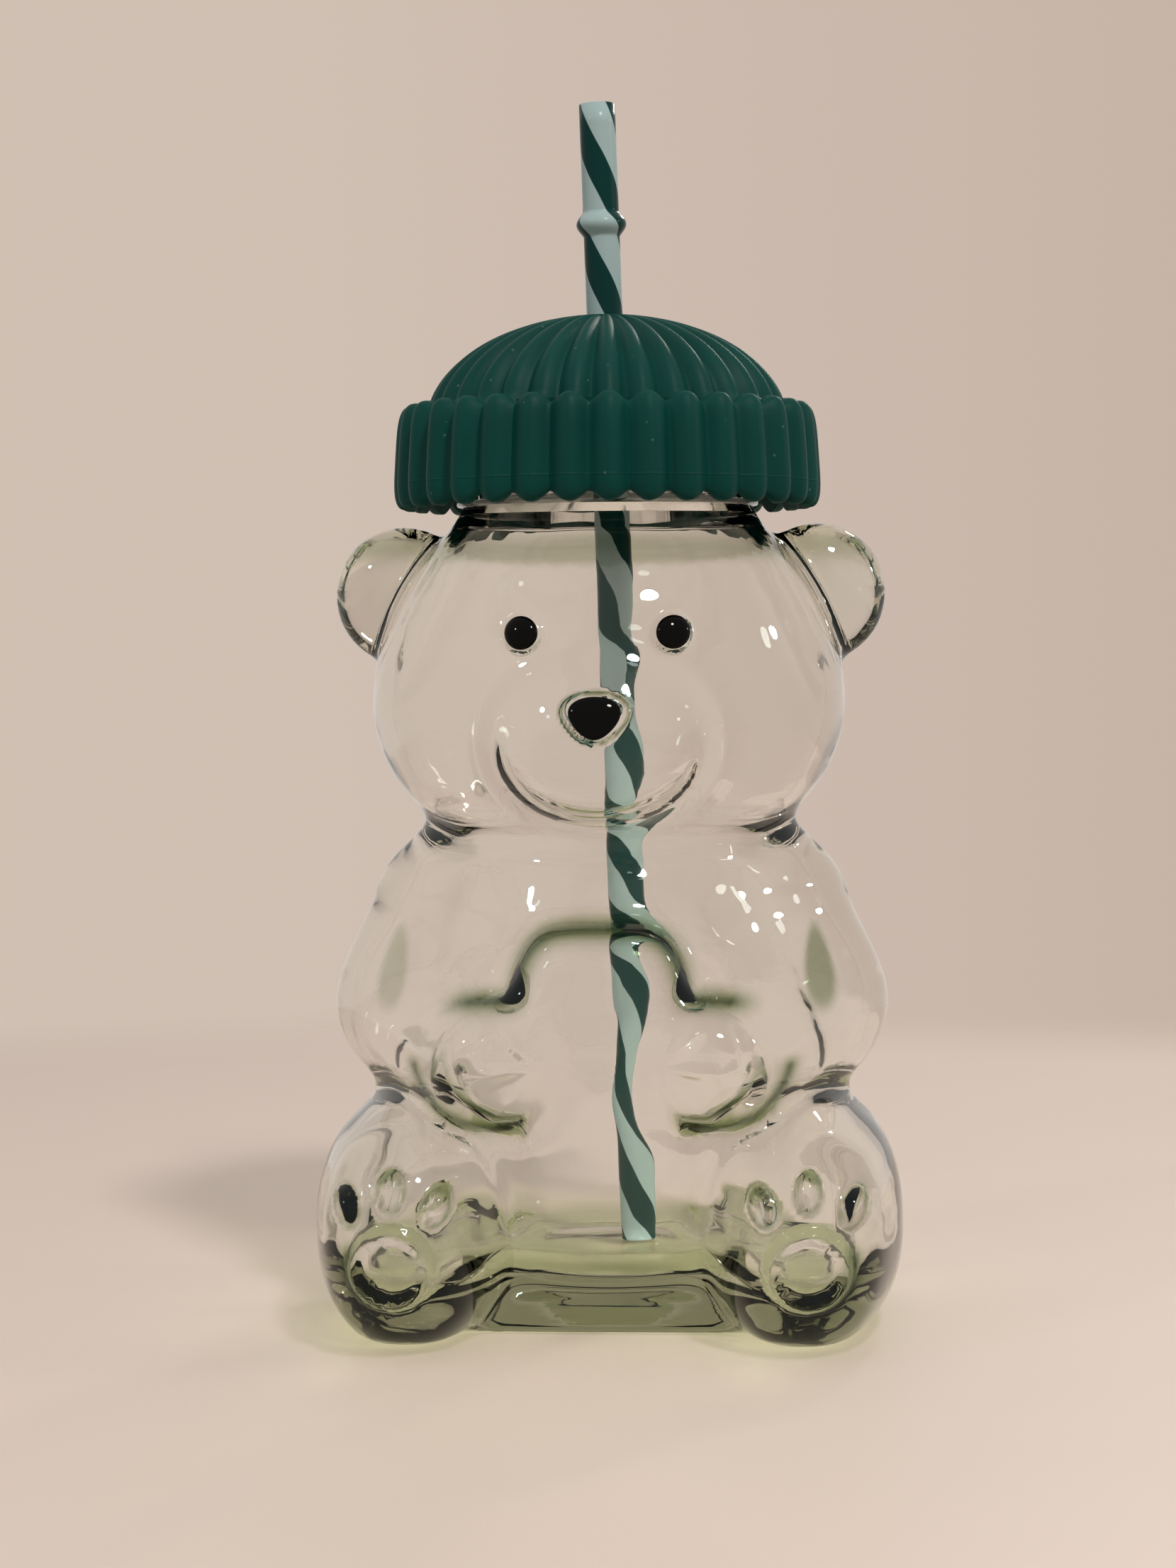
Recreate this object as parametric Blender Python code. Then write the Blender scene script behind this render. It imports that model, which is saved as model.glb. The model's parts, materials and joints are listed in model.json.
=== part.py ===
"""Bear-shaped glass tumbler with a ribbed hat lid and a striped straw, in metres, +Z up, at rest.

The glass is one hollow moulded shell. Its form is a smooth union of rounded lumps (head, torso, seat,
legs, arms, muzzle, ears and a held panel), read along rays from a spine inside it, so that the skin is
one clean grid from the base to the neck. The lid parts and the straw are turned profiles, and the
hat is a turned profile whose ribs swell between a crest line and a groove line.
The bear faces -Y. Heights are measured from the table.
"""

import math

import bmesh
import bpy
import numpy as np
from mathutils import Matrix, Vector

# Gap kept between pieces that touch
GAP = 0.0003

# Head, an egg whose centre lies on the axis of the neck
HEAD_CENTRE_HEIGHT = 0.110
HEAD_HALF_WIDTH = 0.0425
HEAD_HALF_DEPTH = 0.0395
HEAD_UP = 0.0418
HEAD_DOWN = 0.0312
HEAD_BLEND = 0.0050

# Torso, an egg, and the flat seat that it stands on
TORSO_CENTRE_HEIGHT = 0.052
TORSO_CENTRE_BACK = 0.0030
TORSO_HALF_WIDTH = 0.0390
TORSO_FRONT = 0.0390
TORSO_BACK = 0.0360
TORSO_UP = 0.0520
TORSO_DOWN = 0.0525
SEAT_CENTRE_HEIGHT = 0.0140
SEAT_CENTRE_BACK = 0.0050
SEAT_HALF_WIDTH = 0.0390
SEAT_FRONT = 0.0262
SEAT_BACK = 0.0315
SEAT_UP = 0.0240
SEAT_DOWN = 0.0210
SEAT_POWER = 3.2
SEAT_BLEND = 0.0080

# The thick base plate, which shows as a band between the feet
PLATE_CENTRE_BACK = 0.0040
PLATE_CENTRE_HEIGHT = 0.0025
PLATE_HALF_WIDTH = 0.0360
PLATE_FRONT = 0.0280
PLATE_BACK = 0.0310
PLATE_UP = 0.0050
PLATE_DOWN = 0.0050
PLATE_POWER = 4.0
PLATE_BLEND = 0.0020

# Legs: a wide haunch beside the seat and a round foot in front of it
HAUNCH_SIDE = 0.0350
HAUNCH_FRONT_PLACE = 0.0010
HAUNCH_HEIGHT = 0.0175
HAUNCH_HALF_WIDTH = 0.0174
HAUNCH_FRONT = 0.0300
HAUNCH_BACK = 0.0250
HAUNCH_UP = 0.0222
HAUNCH_DOWN = 0.0196
HAUNCH_POWER = 2.4
FOOT_SIDE = 0.0338
FOOT_FRONT_PLACE = 0.0260
FOOT_HEIGHT = 0.0190
FOOT_HALF_WIDTH = 0.0150
FOOT_FRONT = 0.0210
FOOT_BACK = 0.0260
FOOT_UP = 0.0198
FOOT_DOWN = 0.0203
FOOT_POWER = 2.3
FOOT_SPLAY_DEGREES = 4.0
LEG_BLEND = 0.0070
FOOT_BLEND = 0.0090

# Arms, each an upper arm and a forearm that ends in a round paw
SHOULDER_SIDE = 0.0282
SHOULDER_BACK = 0.0030
SHOULDER_HEIGHT = 0.0718
SHOULDER_RADIUS = 0.0153
ELBOW_SIDE = 0.0345
ELBOW_BACK = 0.0000
ELBOW_HEIGHT = 0.0562
ELBOW_RADIUS = 0.0134
PAW_SIDE = 0.0198
PAW_FRONT = 0.0362
PAW_HEIGHT = 0.0524
PAW_RADIUS = 0.0106
ARM_BLEND = 0.0045
PAW_BLEND = 0.0045

# Bare arch-topped panel held between the paws: an arch cut from an egg that stands out from the belly
PANEL_CENTRE_HEIGHT = 0.0500
PANEL_HALF_WIDTH = 0.0158
PANEL_HALF_HEIGHT = 0.0232
PANEL_POWER = 3.4
PANEL_EGG_HEIGHT = 0.0580
PANEL_EGG_HALF_WIDTH = 0.0440
PANEL_EGG_FRONT = 0.0452
PANEL_EGG_DOWN = 0.0440
PANEL_EGG_UP = 0.0560
PANEL_FILLET = 0.0040
PANEL_BLEND = 0.0024

# Muzzle and ears, their heights measured from the middle of the head
MUZZLE_CENTRE_FRONT = 0.0345
MUZZLE_DROP = 0.0064
MUZZLE_HALF_WIDTH = 0.0172
MUZZLE_DEPTH = 0.0112
MUZZLE_HALF_HEIGHT = 0.0136
MUZZLE_BLEND = 0.0045
EAR_CENTRE_SIDE = 0.0376
EAR_CENTRE_BACK = 0.0050
EAR_RISE = 0.0196
EAR_RADIUS = 0.0125
EAR_HALF_THICKNESS = 0.0074
EAR_BLEND = 0.0030

# Base: fillet round its edge and the shallow hollow under it
BASE_FILLET = 0.0035
PUNT_RADIUS = 0.0150
PUNT_DEPTH = 0.0015
PUNT_CENTRE_BACK = 0.0070

# Walls of the glass and the hollow inside
HEAD_WALL = 0.0034
TORSO_WALL = 0.0038
SEAT_WALL = 0.0060
LEG_WALL = 0.0056
ARM_WALL = 0.0056
PAW_WALL = 0.0050
MUZZLE_WALL = 0.0040
LEAST_WALL = 0.0026
HOLLOW_BLEND = 0.0140
FLOOR_HEIGHT = 0.0095
FLOOR_FILLET = 0.0120

# Neck: waist, sunk into the crown of the head, then transfer bead and finish; the rim is its top
NECK_SINK = 0.0084
NECK_WAIST_RADIUS = 0.0253
BEAD_RADIUS = 0.0273
BEAD_HEIGHT = 0.0026
BEAD_RISE = 0.0031
FINISH_RADIUS = 0.0251
FINISH_HEIGHT = 0.0151
MOUTH_RADIUS = 0.0220
RIM_ROUND = 0.0011

# Raised marks on the glass: paw pads, toes, nose and eye bosses
MARK_ROOT = 0.0028
PAD_SIDE = 0.0350
PAD_HEIGHT = 0.0160
PAD_RADIUS = 0.0070
PAD_RELIEF = 0.0014
TOE_HALF_WIDTH = 0.00215
TOE_HALF_HEIGHT = 0.0033
TOE_RELIEF = 0.0013
TOE_CIRCLE_RADIUS = 0.0127
TOE_FAN_DEGREES = 37.0
NOSE_DROP = 0.0017
NOSE_HALF_WIDTH = 0.0065
NOSE_HALF_HEIGHT = 0.0047
NOSE_RELIEF = 0.0020
NOSE_TAPER_SHARE = 0.30
EYE_SIDE = 0.0126
EYE_RISE = 0.0123
EYE_BOSS_RADIUS = 0.0032
EYE_BOSS_RELIEF = 0.0008

# Black enamel
EYE_RADIUS = 0.0028
EYE_DOME = 0.0013
NOSE_ENAMEL_HALF_WIDTH = 0.0045
NOSE_ENAMEL_HALF_HEIGHT = 0.0036
NOSE_ENAMEL_DOME = 0.0008
ENAMEL_EDGE = 0.0004

# Screw cap
CAP_SKIRT_RADIUS = 0.0287
CAP_SKIRT_WALL = 0.0018
CAP_SKIRT_DROP = 0.0096
CAP_PLATE = 0.0018
CAP_FLANGE_RADIUS = 0.0315
CHIMNEY_RADIUS = 0.0080
CHIMNEY_BORE_RADIUS = 0.0059
CHIMNEY_HEIGHT = 0.0119

# Gasket and straw bush
GASKET_THICKNESS = 0.0014
GASKET_WIDTH = 0.0046
BUSH_LENGTH = 0.0076
BUSH_BORE_RADIUS = 0.0037
BUSH_FLANGE_RADIUS = 0.0079
BUSH_FLANGE = 0.0011

# Hat cover: cuff and dome, both with the same ribs
RIB_COUNT = 33
HAT_TURN_DEGREES = 3.6
CUFF_INNER_RADIUS = 0.0346
CUFF_THICKNESS = 0.0035
CUFF_FLARE = 0.0006
CUFF_DROP = 0.0137
CUFF_HEIGHT = 0.0187
CUFF_POWER = 4.0
RIB_DEPTH = 0.0016
RIB_NOTCH = 0.0013
RIB_ROUND_SHARE = 0.96
DOME_HALF_WIDTH = 0.0325
DOME_HALF_HEIGHT = 0.0195
DOME_WALL = 0.0026
DOME_RIB_DEPTH = 0.0013
DOME_RIB_FADE_RADIUS = 0.0200
SNAP_BEAD = 0.0006
SNAP_BEAD_HEIGHT = 0.0027
FLANGE_CLEARANCE = 0.0004
STRAW_HOLE_RADIUS = 0.0042

# Straw, leaning to the bear's right at the top; it shows this far above the middle of the bush
STRAW_SHOWING = 0.0455
STRAW_RADIUS = 0.00325
STRAW_WALL = 0.0006
STRAW_LEAN_SLOPE = 0.030
STOP_RING_RADIUS = 0.0045
STOP_RING_HEIGHT = 0.0042
STOP_RING_BELOW_TOP = 0.0215

# How finely the shapes are divided
BODY_COLUMNS = 64
NECK_COLUMNS = 32
LID_COLUMNS = 30
STRAW_COLUMNS = 16
MARK_COLUMNS = 14
RIB_COLUMNS = 4
CUFF_ROWS = 6
DOME_ROWS = 5
FRONT_DENSITY = 0.20
BASE_ROW_COUNT = 5
WALL_ROW_COUNT = 37
ROW_CROWDS = 3
CROWD_SHARE = 0.45
SHOULDER_ROW_COUNT = 6
HOLLOW_SKIP_COUNT = 2
RELAX_ROUNDS = 40
HOLLOW_RELAX_ROUNDS = 4
MARCH_STEPS = 90
BISECT_STEPS = 24
SLOPE_STEP = 0.00002
CAST_BLEND = 0.0160
DROP_ROUNDS = 3
DROP_LIMIT = 0.0020
LEAST_SLOPE = 0.3
SETTLE_SHARE = 0.30
SIDEWAYS_SHARE = 0.50
RAY_LENGTH = 0.090

# The ray family: where the rays start on the axis, and the barrel that they are aimed at
SPINE_BOTTOM = 0.0200
BARREL_RADIUS = 0.0420
BARREL_BASE_RADIUS = 0.0330
BARREL_TOP = 0.1250

# Heights that follow
MUZZLE_CENTRE_HEIGHT = HEAD_CENTRE_HEIGHT - MUZZLE_DROP
EAR_CENTRE_HEIGHT = HEAD_CENTRE_HEIGHT + EAR_RISE
NOSE_HEIGHT = HEAD_CENTRE_HEIGHT - NOSE_DROP
EYE_HEIGHT = HEAD_CENTRE_HEIGHT + EYE_RISE
NECK_WAIST_HEIGHT = HEAD_CENTRE_HEIGHT + HEAD_UP - NECK_SINK
SPINE_TOP = NECK_WAIST_HEIGHT - NECK_WAIST_RADIUS
RIM_HEIGHT = NECK_WAIST_HEIGHT + FINISH_HEIGHT
GASKET_HEIGHT = RIM_HEIGHT + GAP
CAP_UNDERSIDE = GASKET_HEIGHT + GASKET_THICKNESS + GAP
CAP_TOP = CAP_UNDERSIDE + CAP_PLATE
CHIMNEY_TOP = CAP_TOP + CHIMNEY_HEIGHT
CUFF_BOTTOM = RIM_HEIGHT - CUFF_DROP
CUFF_TOP = CUFF_BOTTOM + CUFF_HEIGHT
DOME_CENTRE_HEIGHT = CAP_UNDERSIDE - FLANGE_CLEARANCE
STRAW_FOOT_HEIGHT = FLOOR_HEIGHT + GAP
BUSH_MIDDLE = CHIMNEY_TOP + GAP + BUSH_FLANGE - BUSH_LENGTH / 2

# Outlines as (share of the radius, share of the rise), from the edge to the middle
DOME_SHARES = ((1.0, 0.0), (0.93, 0.55), (0.62, 0.90), (0.0, 1.0))
FLAT_SHARES = ((1.0, 0.0), (0.96, 0.80), (0.84, 1.0), (0.0, 1.0))
LIPPED_SHARES = ((1.0, 0.0), (0.96, 0.72), (0.86, 1.0), (0.76, 0.86), (0.66, 0.36), (0.0, 0.20))

# Colours, linear
GLASS_COLOUR = (0.80, 0.86, 0.78, 1.0)
ENAMEL_COLOUR = (0.006, 0.006, 0.007, 1.0)
HAT_COLOUR = (0.004, 0.105, 0.080, 1.0)
CAP_COLOUR = (0.70, 0.72, 0.70, 1.0)
GASKET_COLOUR = (0.75, 0.75, 0.72, 1.0)
STRAW_COLOUR = (0.010, 0.120, 0.110, 1.0)


def material(name, colour, roughness, transmission=0.0):
    """A plain finish for one kind of piece."""
    made = bpy.data.materials.new(name)
    made.use_nodes = True
    made.diffuse_color = colour
    shader = made.node_tree.nodes["Principled BSDF"]
    shader.inputs["Base Color"].default_value = colour
    shader.inputs["Metallic"].default_value = 0.0
    shader.inputs["Roughness"].default_value = roughness
    shader.inputs["Transmission Weight"].default_value = transmission
    return made


class Lump:
    """One rounded form of the glass: its distance function, its blend, and the wall kept inside it."""

    def __init__(self, blend, wall=None):
        self.blend = blend
        self.wall = wall


class Egg(Lump):
    """A superellipsoid with its own half size in each of the six directions, turned about its height."""

    def __init__(self, centre, low, high, power=2.0, turn=0.0, **kept):
        super().__init__(**kept)
        self.centre = np.array(centre)
        self.low = np.array(low)
        self.high = np.array(high)
        self.power = power
        self.turn = turn

    def distance(self, points):
        place = points - self.centre
        along, across = math.cos(self.turn), math.sin(self.turn)
        turned = place @ np.array(((along, -across, 0), (across, along, 0), (0, 0, 1)))
        half = np.where(turned < 0, self.low, self.high)
        share = np.abs(turned) / half
        reach = (share**self.power).sum(axis=-1) ** (1 / self.power)
        slope = np.sqrt(((share ** (self.power - 1) / half) ** 2).sum(axis=-1))
        slope = slope / np.maximum(reach, SLOPE_STEP) ** (self.power - 1)
        return (reach - 1) / np.maximum(slope, 1)


class Limb(Lump):
    """A tapered bar with round ends."""

    def __init__(self, start, end, start_radius, end_radius, **kept):
        super().__init__(**kept)
        self.start = np.array(start)
        self.run = np.array(end) - self.start
        self.radii = (start_radius, end_radius)

    def distance(self, points):
        place = points - self.start
        share = np.clip(place @ self.run / (self.run @ self.run), 0, 1)
        radius = self.radii[0] + share * (self.radii[1] - self.radii[0])
        return np.linalg.norm(place - share[..., None] * self.run, axis=-1) - radius


class Panel(Lump):
    """The front of an egg, cut to an arch and rounded at its edge."""

    def __init__(self, **kept):
        super().__init__(**kept)
        low = (PANEL_EGG_HALF_WIDTH, PANEL_EGG_FRONT, PANEL_EGG_DOWN)
        high = (PANEL_EGG_HALF_WIDTH, TORSO_BACK, PANEL_EGG_UP)
        self.egg = Egg((0, TORSO_CENTRE_BACK, PANEL_EGG_HEIGHT), low, high, **kept)
        half = (PANEL_HALF_WIDTH, 1, PANEL_HALF_HEIGHT)
        self.arch = Egg((0, 0, PANEL_CENTRE_HEIGHT), half, half, power=PANEL_POWER, **kept)

    def distance(self, points):
        level = points * (1, 0, 1)
        behind = points[..., 1] - TORSO_CENTRE_BACK
        front = np.maximum(self.egg.distance(points), behind)
        return smooth_most(front, self.arch.distance(level), PANEL_FILLET)


class Post(Lump):
    """The upright cylinder of the neck, which starts inside the head."""

    def __init__(self, radius, foot, **kept):
        super().__init__(**kept)
        self.radius = radius
        self.foot = foot

    def distance(self, points):
        side = np.hypot(points[..., 0], points[..., 1]) - self.radius
        return np.maximum(side, self.foot - points[..., 2])


def smooth_least(first, second, blend):
    """The lesser of two distances, rounded where they are within the blend of each other."""
    near = np.maximum(blend - np.abs(first - second), 0) / blend
    return np.minimum(first, second) - near * near * blend / 4


def smooth_most(first, second, blend):
    return -smooth_least(-first, -second, blend)


def body_lumps():
    """The lumps of the bear, in the order in which they are blended."""
    lumps = [
        Egg(
            (0, TORSO_CENTRE_BACK, TORSO_CENTRE_HEIGHT),
            (TORSO_HALF_WIDTH, TORSO_FRONT, TORSO_DOWN),
            (TORSO_HALF_WIDTH, TORSO_BACK, TORSO_UP),
            blend=HEAD_BLEND,
            wall=TORSO_WALL,
        ),
        Egg(
            (0, SEAT_CENTRE_BACK, SEAT_CENTRE_HEIGHT),
            (SEAT_HALF_WIDTH, SEAT_FRONT, SEAT_DOWN),
            (SEAT_HALF_WIDTH, SEAT_BACK, SEAT_UP),
            power=SEAT_POWER,
            blend=SEAT_BLEND,
            wall=SEAT_WALL,
        ),
        Egg(
            (0, 0, HEAD_CENTRE_HEIGHT),
            (HEAD_HALF_WIDTH, HEAD_HALF_DEPTH, HEAD_DOWN),
            (HEAD_HALF_WIDTH, HEAD_HALF_DEPTH, HEAD_UP),
            blend=HEAD_BLEND,
            wall=HEAD_WALL,
        ),
    ]
    for side in (-1, 1):
        shoulder = (side * SHOULDER_SIDE, SHOULDER_BACK, SHOULDER_HEIGHT)
        elbow = (side * ELBOW_SIDE, ELBOW_BACK, ELBOW_HEIGHT)
        paw = (side * PAW_SIDE, -PAW_FRONT, PAW_HEIGHT)
        lumps.append(
            Limb(shoulder, elbow, SHOULDER_RADIUS, ELBOW_RADIUS, blend=ARM_BLEND, wall=ARM_WALL)
        )
        lumps.append(Limb(elbow, paw, ELBOW_RADIUS, PAW_RADIUS, blend=PAW_BLEND, wall=PAW_WALL))
        lumps.append(
            Egg(
                (side * HAUNCH_SIDE, -HAUNCH_FRONT_PLACE, HAUNCH_HEIGHT),
                (HAUNCH_HALF_WIDTH, HAUNCH_FRONT, HAUNCH_DOWN),
                (HAUNCH_HALF_WIDTH, HAUNCH_BACK, HAUNCH_UP),
                power=HAUNCH_POWER,
                blend=LEG_BLEND,
                wall=LEG_WALL,
            )
        )
        lumps.append(
            Egg(
                (side * FOOT_SIDE, -FOOT_FRONT_PLACE, FOOT_HEIGHT),
                (FOOT_HALF_WIDTH, FOOT_FRONT, FOOT_DOWN),
                (FOOT_HALF_WIDTH, FOOT_BACK, FOOT_UP),
                power=FOOT_POWER,
                turn=side * math.radians(FOOT_SPLAY_DEGREES),
                blend=FOOT_BLEND,
                wall=LEG_WALL,
            )
        )
        ear = (EAR_RADIUS, EAR_HALF_THICKNESS, EAR_RADIUS)
        place = (side * EAR_CENTRE_SIDE, EAR_CENTRE_BACK, EAR_CENTRE_HEIGHT)
        lumps.append(Egg(place, ear, ear, blend=EAR_BLEND))
    lumps.append(
        Egg(
            (0, PLATE_CENTRE_BACK, PLATE_CENTRE_HEIGHT),
            (PLATE_HALF_WIDTH, PLATE_FRONT, PLATE_DOWN),
            (PLATE_HALF_WIDTH, PLATE_BACK, PLATE_UP),
            power=PLATE_POWER,
            blend=PLATE_BLEND,
        )
    )
    lumps.append(Panel(blend=PANEL_BLEND))
    muzzle = (MUZZLE_HALF_WIDTH, MUZZLE_DEPTH, MUZZLE_HALF_HEIGHT)
    place = (0, -MUZZLE_CENTRE_FRONT, MUZZLE_CENTRE_HEIGHT)
    lumps.append(Egg(place, muzzle, muzzle, blend=MUZZLE_BLEND, wall=MUZZLE_WALL))
    lumps.append(Post(NECK_WAIST_RADIUS, HEAD_CENTRE_HEIGHT, blend=HEAD_BLEND))
    return lumps


LUMPS = body_lumps()


def outside(points, more_blend=0):
    """Distance to the outer skin of the glass: the blended lumps, cut by the base and its hollow."""
    found = LUMPS[0].distance(points)
    for lump in LUMPS[1:]:
        found = smooth_least(found, lump.distance(points), lump.blend + more_blend)
    reach = np.hypot(points[..., 0], points[..., 1] - PUNT_CENTRE_BACK) / PUNT_RADIUS
    base = PUNT_DEPTH * np.maximum(1 - reach**2, 0)
    return smooth_most(found, base - points[..., 2], BASE_FILLET)


def hollow(points, more_blend=0):
    """Distance to the inner skin: the hollow lumps drawn in by their walls, with softer blends."""
    found = None
    for lump in LUMPS:
        if lump.wall is None:
            continue
        inner = lump.distance(points) + lump.wall
        found = inner if found is None else smooth_least(found, inner, HOLLOW_BLEND + more_blend)
    bore = Post(MOUTH_RADIUS, HEAD_CENTRE_HEIGHT, blend=0).distance(points)
    found = smooth_least(found, bore, HOLLOW_BLEND)
    found = smooth_most(found, FLOOR_HEIGHT - points[..., 2], FLOOR_FILLET)
    return np.maximum(found, outside(points) + LEAST_WALL)


def column_angles(count):
    """Angles round the axis, 0 at the front, closer together there than at the back."""
    turn = 2 * math.pi * np.arange(count) / count
    return turn - FRONT_DENSITY * np.sin(turn)


def ray_rows(step=1):
    """Start height, aim radius and aim height of each row of rays, from the middle of the base up.

    The rows crowd together at evenly spaced heights, where the paws, the chin and the ears fold the skin.
    """
    aims = [(BARREL_BASE_RADIUS * row / BASE_ROW_COUNT, 0) for row in range(1, BASE_ROW_COUNT, step)]
    for row in range(0, WALL_ROW_COUNT, step):
        flare = min(1, row / SHOULDER_ROW_COUNT)
        reach = BARREL_BASE_RADIUS + (BARREL_RADIUS - BARREL_BASE_RADIUS) * flare
        turn = 2 * math.pi * ROW_CROWDS * row / WALL_ROW_COUNT
        crowd = CROWD_SHARE * math.sin(turn) / (2 * math.pi * ROW_CROWDS)
        aims.append((reach, BARREL_TOP * (row / WALL_ROW_COUNT - crowd)))
    for row in range(0, SHOULDER_ROW_COUNT + 1, step):
        share = row / SHOULDER_ROW_COUNT
        reach = BARREL_RADIUS + (NECK_WAIST_RADIUS - BARREL_RADIUS) * share
        aims.append((reach, BARREL_TOP + (NECK_WAIST_HEIGHT - BARREL_TOP) * share))
    return np.array([(min(max(height, SPINE_BOTTOM), SPINE_TOP), reach, height) for reach, height in aims])


def skin_grid(field, columns, step, rounds):
    """Points of a skin as rows from the base to the neck: the outermost crossing along each ray.

    The rays are marched inwards to the first change of sign and halved down to it, on a form with fuller
    blends, which hides no place from the spine. The blends then tighten round by round to the true ones,
    and in each round every point moves towards the mean of its neighbours and drops onto the skin.
    """
    rows = ray_rows(step)
    angles = column_angles(columns)
    start = np.zeros((len(rows), columns, 3))
    start[..., 2] = rows[:, 0, None]
    reach, rise = rows[:, 1, None], (rows[:, 2] - rows[:, 0])[:, None]
    aim = np.stack(
        (reach * np.sin(angles), -reach * np.cos(angles), rise + 0 * angles), axis=-1
    )
    aim /= np.linalg.norm(aim, axis=-1, keepdims=True)
    outer = np.full(start.shape[:2], RAY_LENGTH)
    inner = np.zeros(start.shape[:2])
    found = np.zeros(start.shape[:2], bool)
    for travelled in np.linspace(RAY_LENGTH, 0, MARCH_STEPS):
        inside = field(start + travelled * aim, CAST_BLEND) < 0
        inner = np.where(inside & ~found, travelled, inner)
        found |= inside
        outer = np.where(found, outer, travelled)
    for _ in range(BISECT_STEPS):
        middle = (outer + inner) / 2
        inside = field(start + middle[..., None] * aim, CAST_BLEND) < 0
        inner = np.where(inside, middle, inner)
        outer = np.where(inside, outer, middle)
    points = dropped(start + inner[..., None] * aim, field, CAST_BLEND)
    for more_blend in np.maximum(np.linspace(CAST_BLEND, -CAST_BLEND * SETTLE_SHARE, rounds), 0):
        beside = (np.roll(points, 1, axis=1) + np.roll(points, -1, axis=1))[1:-1] / 2
        along = (points[:-2] + points[2:]) / 2
        mean = along + (beside - along) * SIDEWAYS_SHARE
        points[1:-1] = dropped((points[1:-1] + mean) / 2, field, more_blend)
    return dropped(points, field)


def slope_of(field, points, more_blend=0):
    """Gradient of a field by central differences."""
    steps = np.eye(3) * SLOPE_STEP
    ahead = [field(points + step, more_blend) for step in steps]
    behind = [field(points - step, more_blend) for step in steps]
    return (np.stack(ahead, axis=-1) - np.stack(behind, axis=-1)) / (2 * SLOPE_STEP)


def dropped(points, field, more_blend=0):
    """The points moved along the field's gradient onto its surface."""
    for _ in range(DROP_ROUNDS):
        slope = slope_of(field, points, more_blend)
        length = np.maximum(np.linalg.norm(slope, axis=-1, keepdims=True), LEAST_SLOPE)
        step = field(points, more_blend)[..., None] / length
        points = points - np.clip(step, -DROP_LIMIT, DROP_LIMIT) * slope / length
    return points


class Shell:
    """A closed mesh put together from rings of points."""

    def __init__(self):
        self.points = []
        self.faces = []

    def ring(self, points):
        first = len(self.points)
        self.points.extend(tuple(point) for point in points)
        return list(range(first, len(self.points)))

    def turned_ring(self, radius, height, angles, centre=(0, 0)):
        across, along = centre
        return self.ring(
            (across + radius * math.sin(angle), along - radius * math.cos(angle), height)
            for angle in angles
        )

    def join(self, lower, upper):
        """Faces between two rings, one of which may have twice the points of the other."""
        many, few = (lower, upper) if len(lower) >= len(upper) else (upper, lower)
        ratio = len(many) // len(few)
        for at in range(len(few)):
            near, far = few[at], few[(at + 1) % len(few)]
            edge = [many[(at * ratio + k) % len(many)] for k in range(ratio + 1)]
            if ratio == 1:
                self.faces.append((near, far, edge[1], edge[0]))
            else:
                half = ratio // 2
                for k in range(ratio):
                    self.faces.append((near if k < half else far, edge[k + 1], edge[k]))
                self.faces.append((near, far, edge[half]))

    def close(self, ring, tip):
        """A fan from a ring to one point."""
        last = self.ring([tip])[0]
        for at, corner in enumerate(ring):
            self.faces.append((corner, ring[(at + 1) % len(ring)], last))

    def build(self, name, finish, smooth_degrees=40.0):
        """The shell as an object, with its faces pointing out."""
        mesh = bpy.data.meshes.new(name)
        mesh.from_pydata(self.points, [], self.faces)
        work = bmesh.new()
        work.from_mesh(mesh)
        bmesh.ops.recalc_face_normals(work, faces=work.faces)
        work.to_mesh(mesh)
        work.free()
        mesh.shade_smooth()
        mesh.set_sharp_from_angle(angle=math.radians(smooth_degrees))
        mesh.materials.append(finish)
        made = bpy.data.objects.new(name, mesh)
        bpy.context.scene.collection.objects.link(made)
        return made


def turned(name, profile, finish, columns=LID_COLUMNS):
    """A ring-shaped solid: a closed profile of (radius, height) carried once round the axis."""
    shell = Shell()
    angles = [2 * math.pi * at / columns for at in range(columns)]
    rings = [shell.turned_ring(radius, height, angles) for radius, height in profile]
    for at, ring in enumerate(rings):
        shell.join(ring, rings[(at + 1) % len(rings)])
    return shell.build(name, finish)


def arc(centre, half_sizes, start_degrees, end_degrees, count):
    """Points along part of an upright ellipse, angles measured up from the horizontal."""
    angles = [
        math.radians(start_degrees + (end_degrees - start_degrees) * at / (count - 1))
        for at in range(count)
    ]
    return [
        (centre[0] + half_sizes[0] * math.cos(angle), centre[1] + half_sizes[1] * math.sin(angle))
        for angle in angles
    ]


def neck_profile():
    """The finish from above the waist: bead, straight neck, rounded rim, and down the bore."""
    bead_middle = NECK_WAIST_HEIGHT + BEAD_RISE
    half_bead = BEAD_HEIGHT / 2
    shelf = (BEAD_RADIUS - FINISH_RADIUS) / 2
    rim_middle = (FINISH_RADIUS + MOUTH_RADIUS) / 2
    profile = [(NECK_WAIST_RADIUS, NECK_WAIST_HEIGHT)]
    profile.append((NECK_WAIST_RADIUS + shelf / 2, bead_middle - half_bead - shelf / 2))
    profile += [(BEAD_RADIUS, bead_middle - half_bead / 2), (BEAD_RADIUS, bead_middle + half_bead / 2)]
    profile.append((FINISH_RADIUS, bead_middle + half_bead + shelf / 2))
    profile.append((FINISH_RADIUS, RIM_HEIGHT - RIM_ROUND))
    profile.append(((FINISH_RADIUS + rim_middle) / 2, RIM_HEIGHT))
    profile.append(((MOUTH_RADIUS + rim_middle) / 2, RIM_HEIGHT))
    profile.append((MOUTH_RADIUS, RIM_HEIGHT - RIM_ROUND))
    return profile


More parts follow.
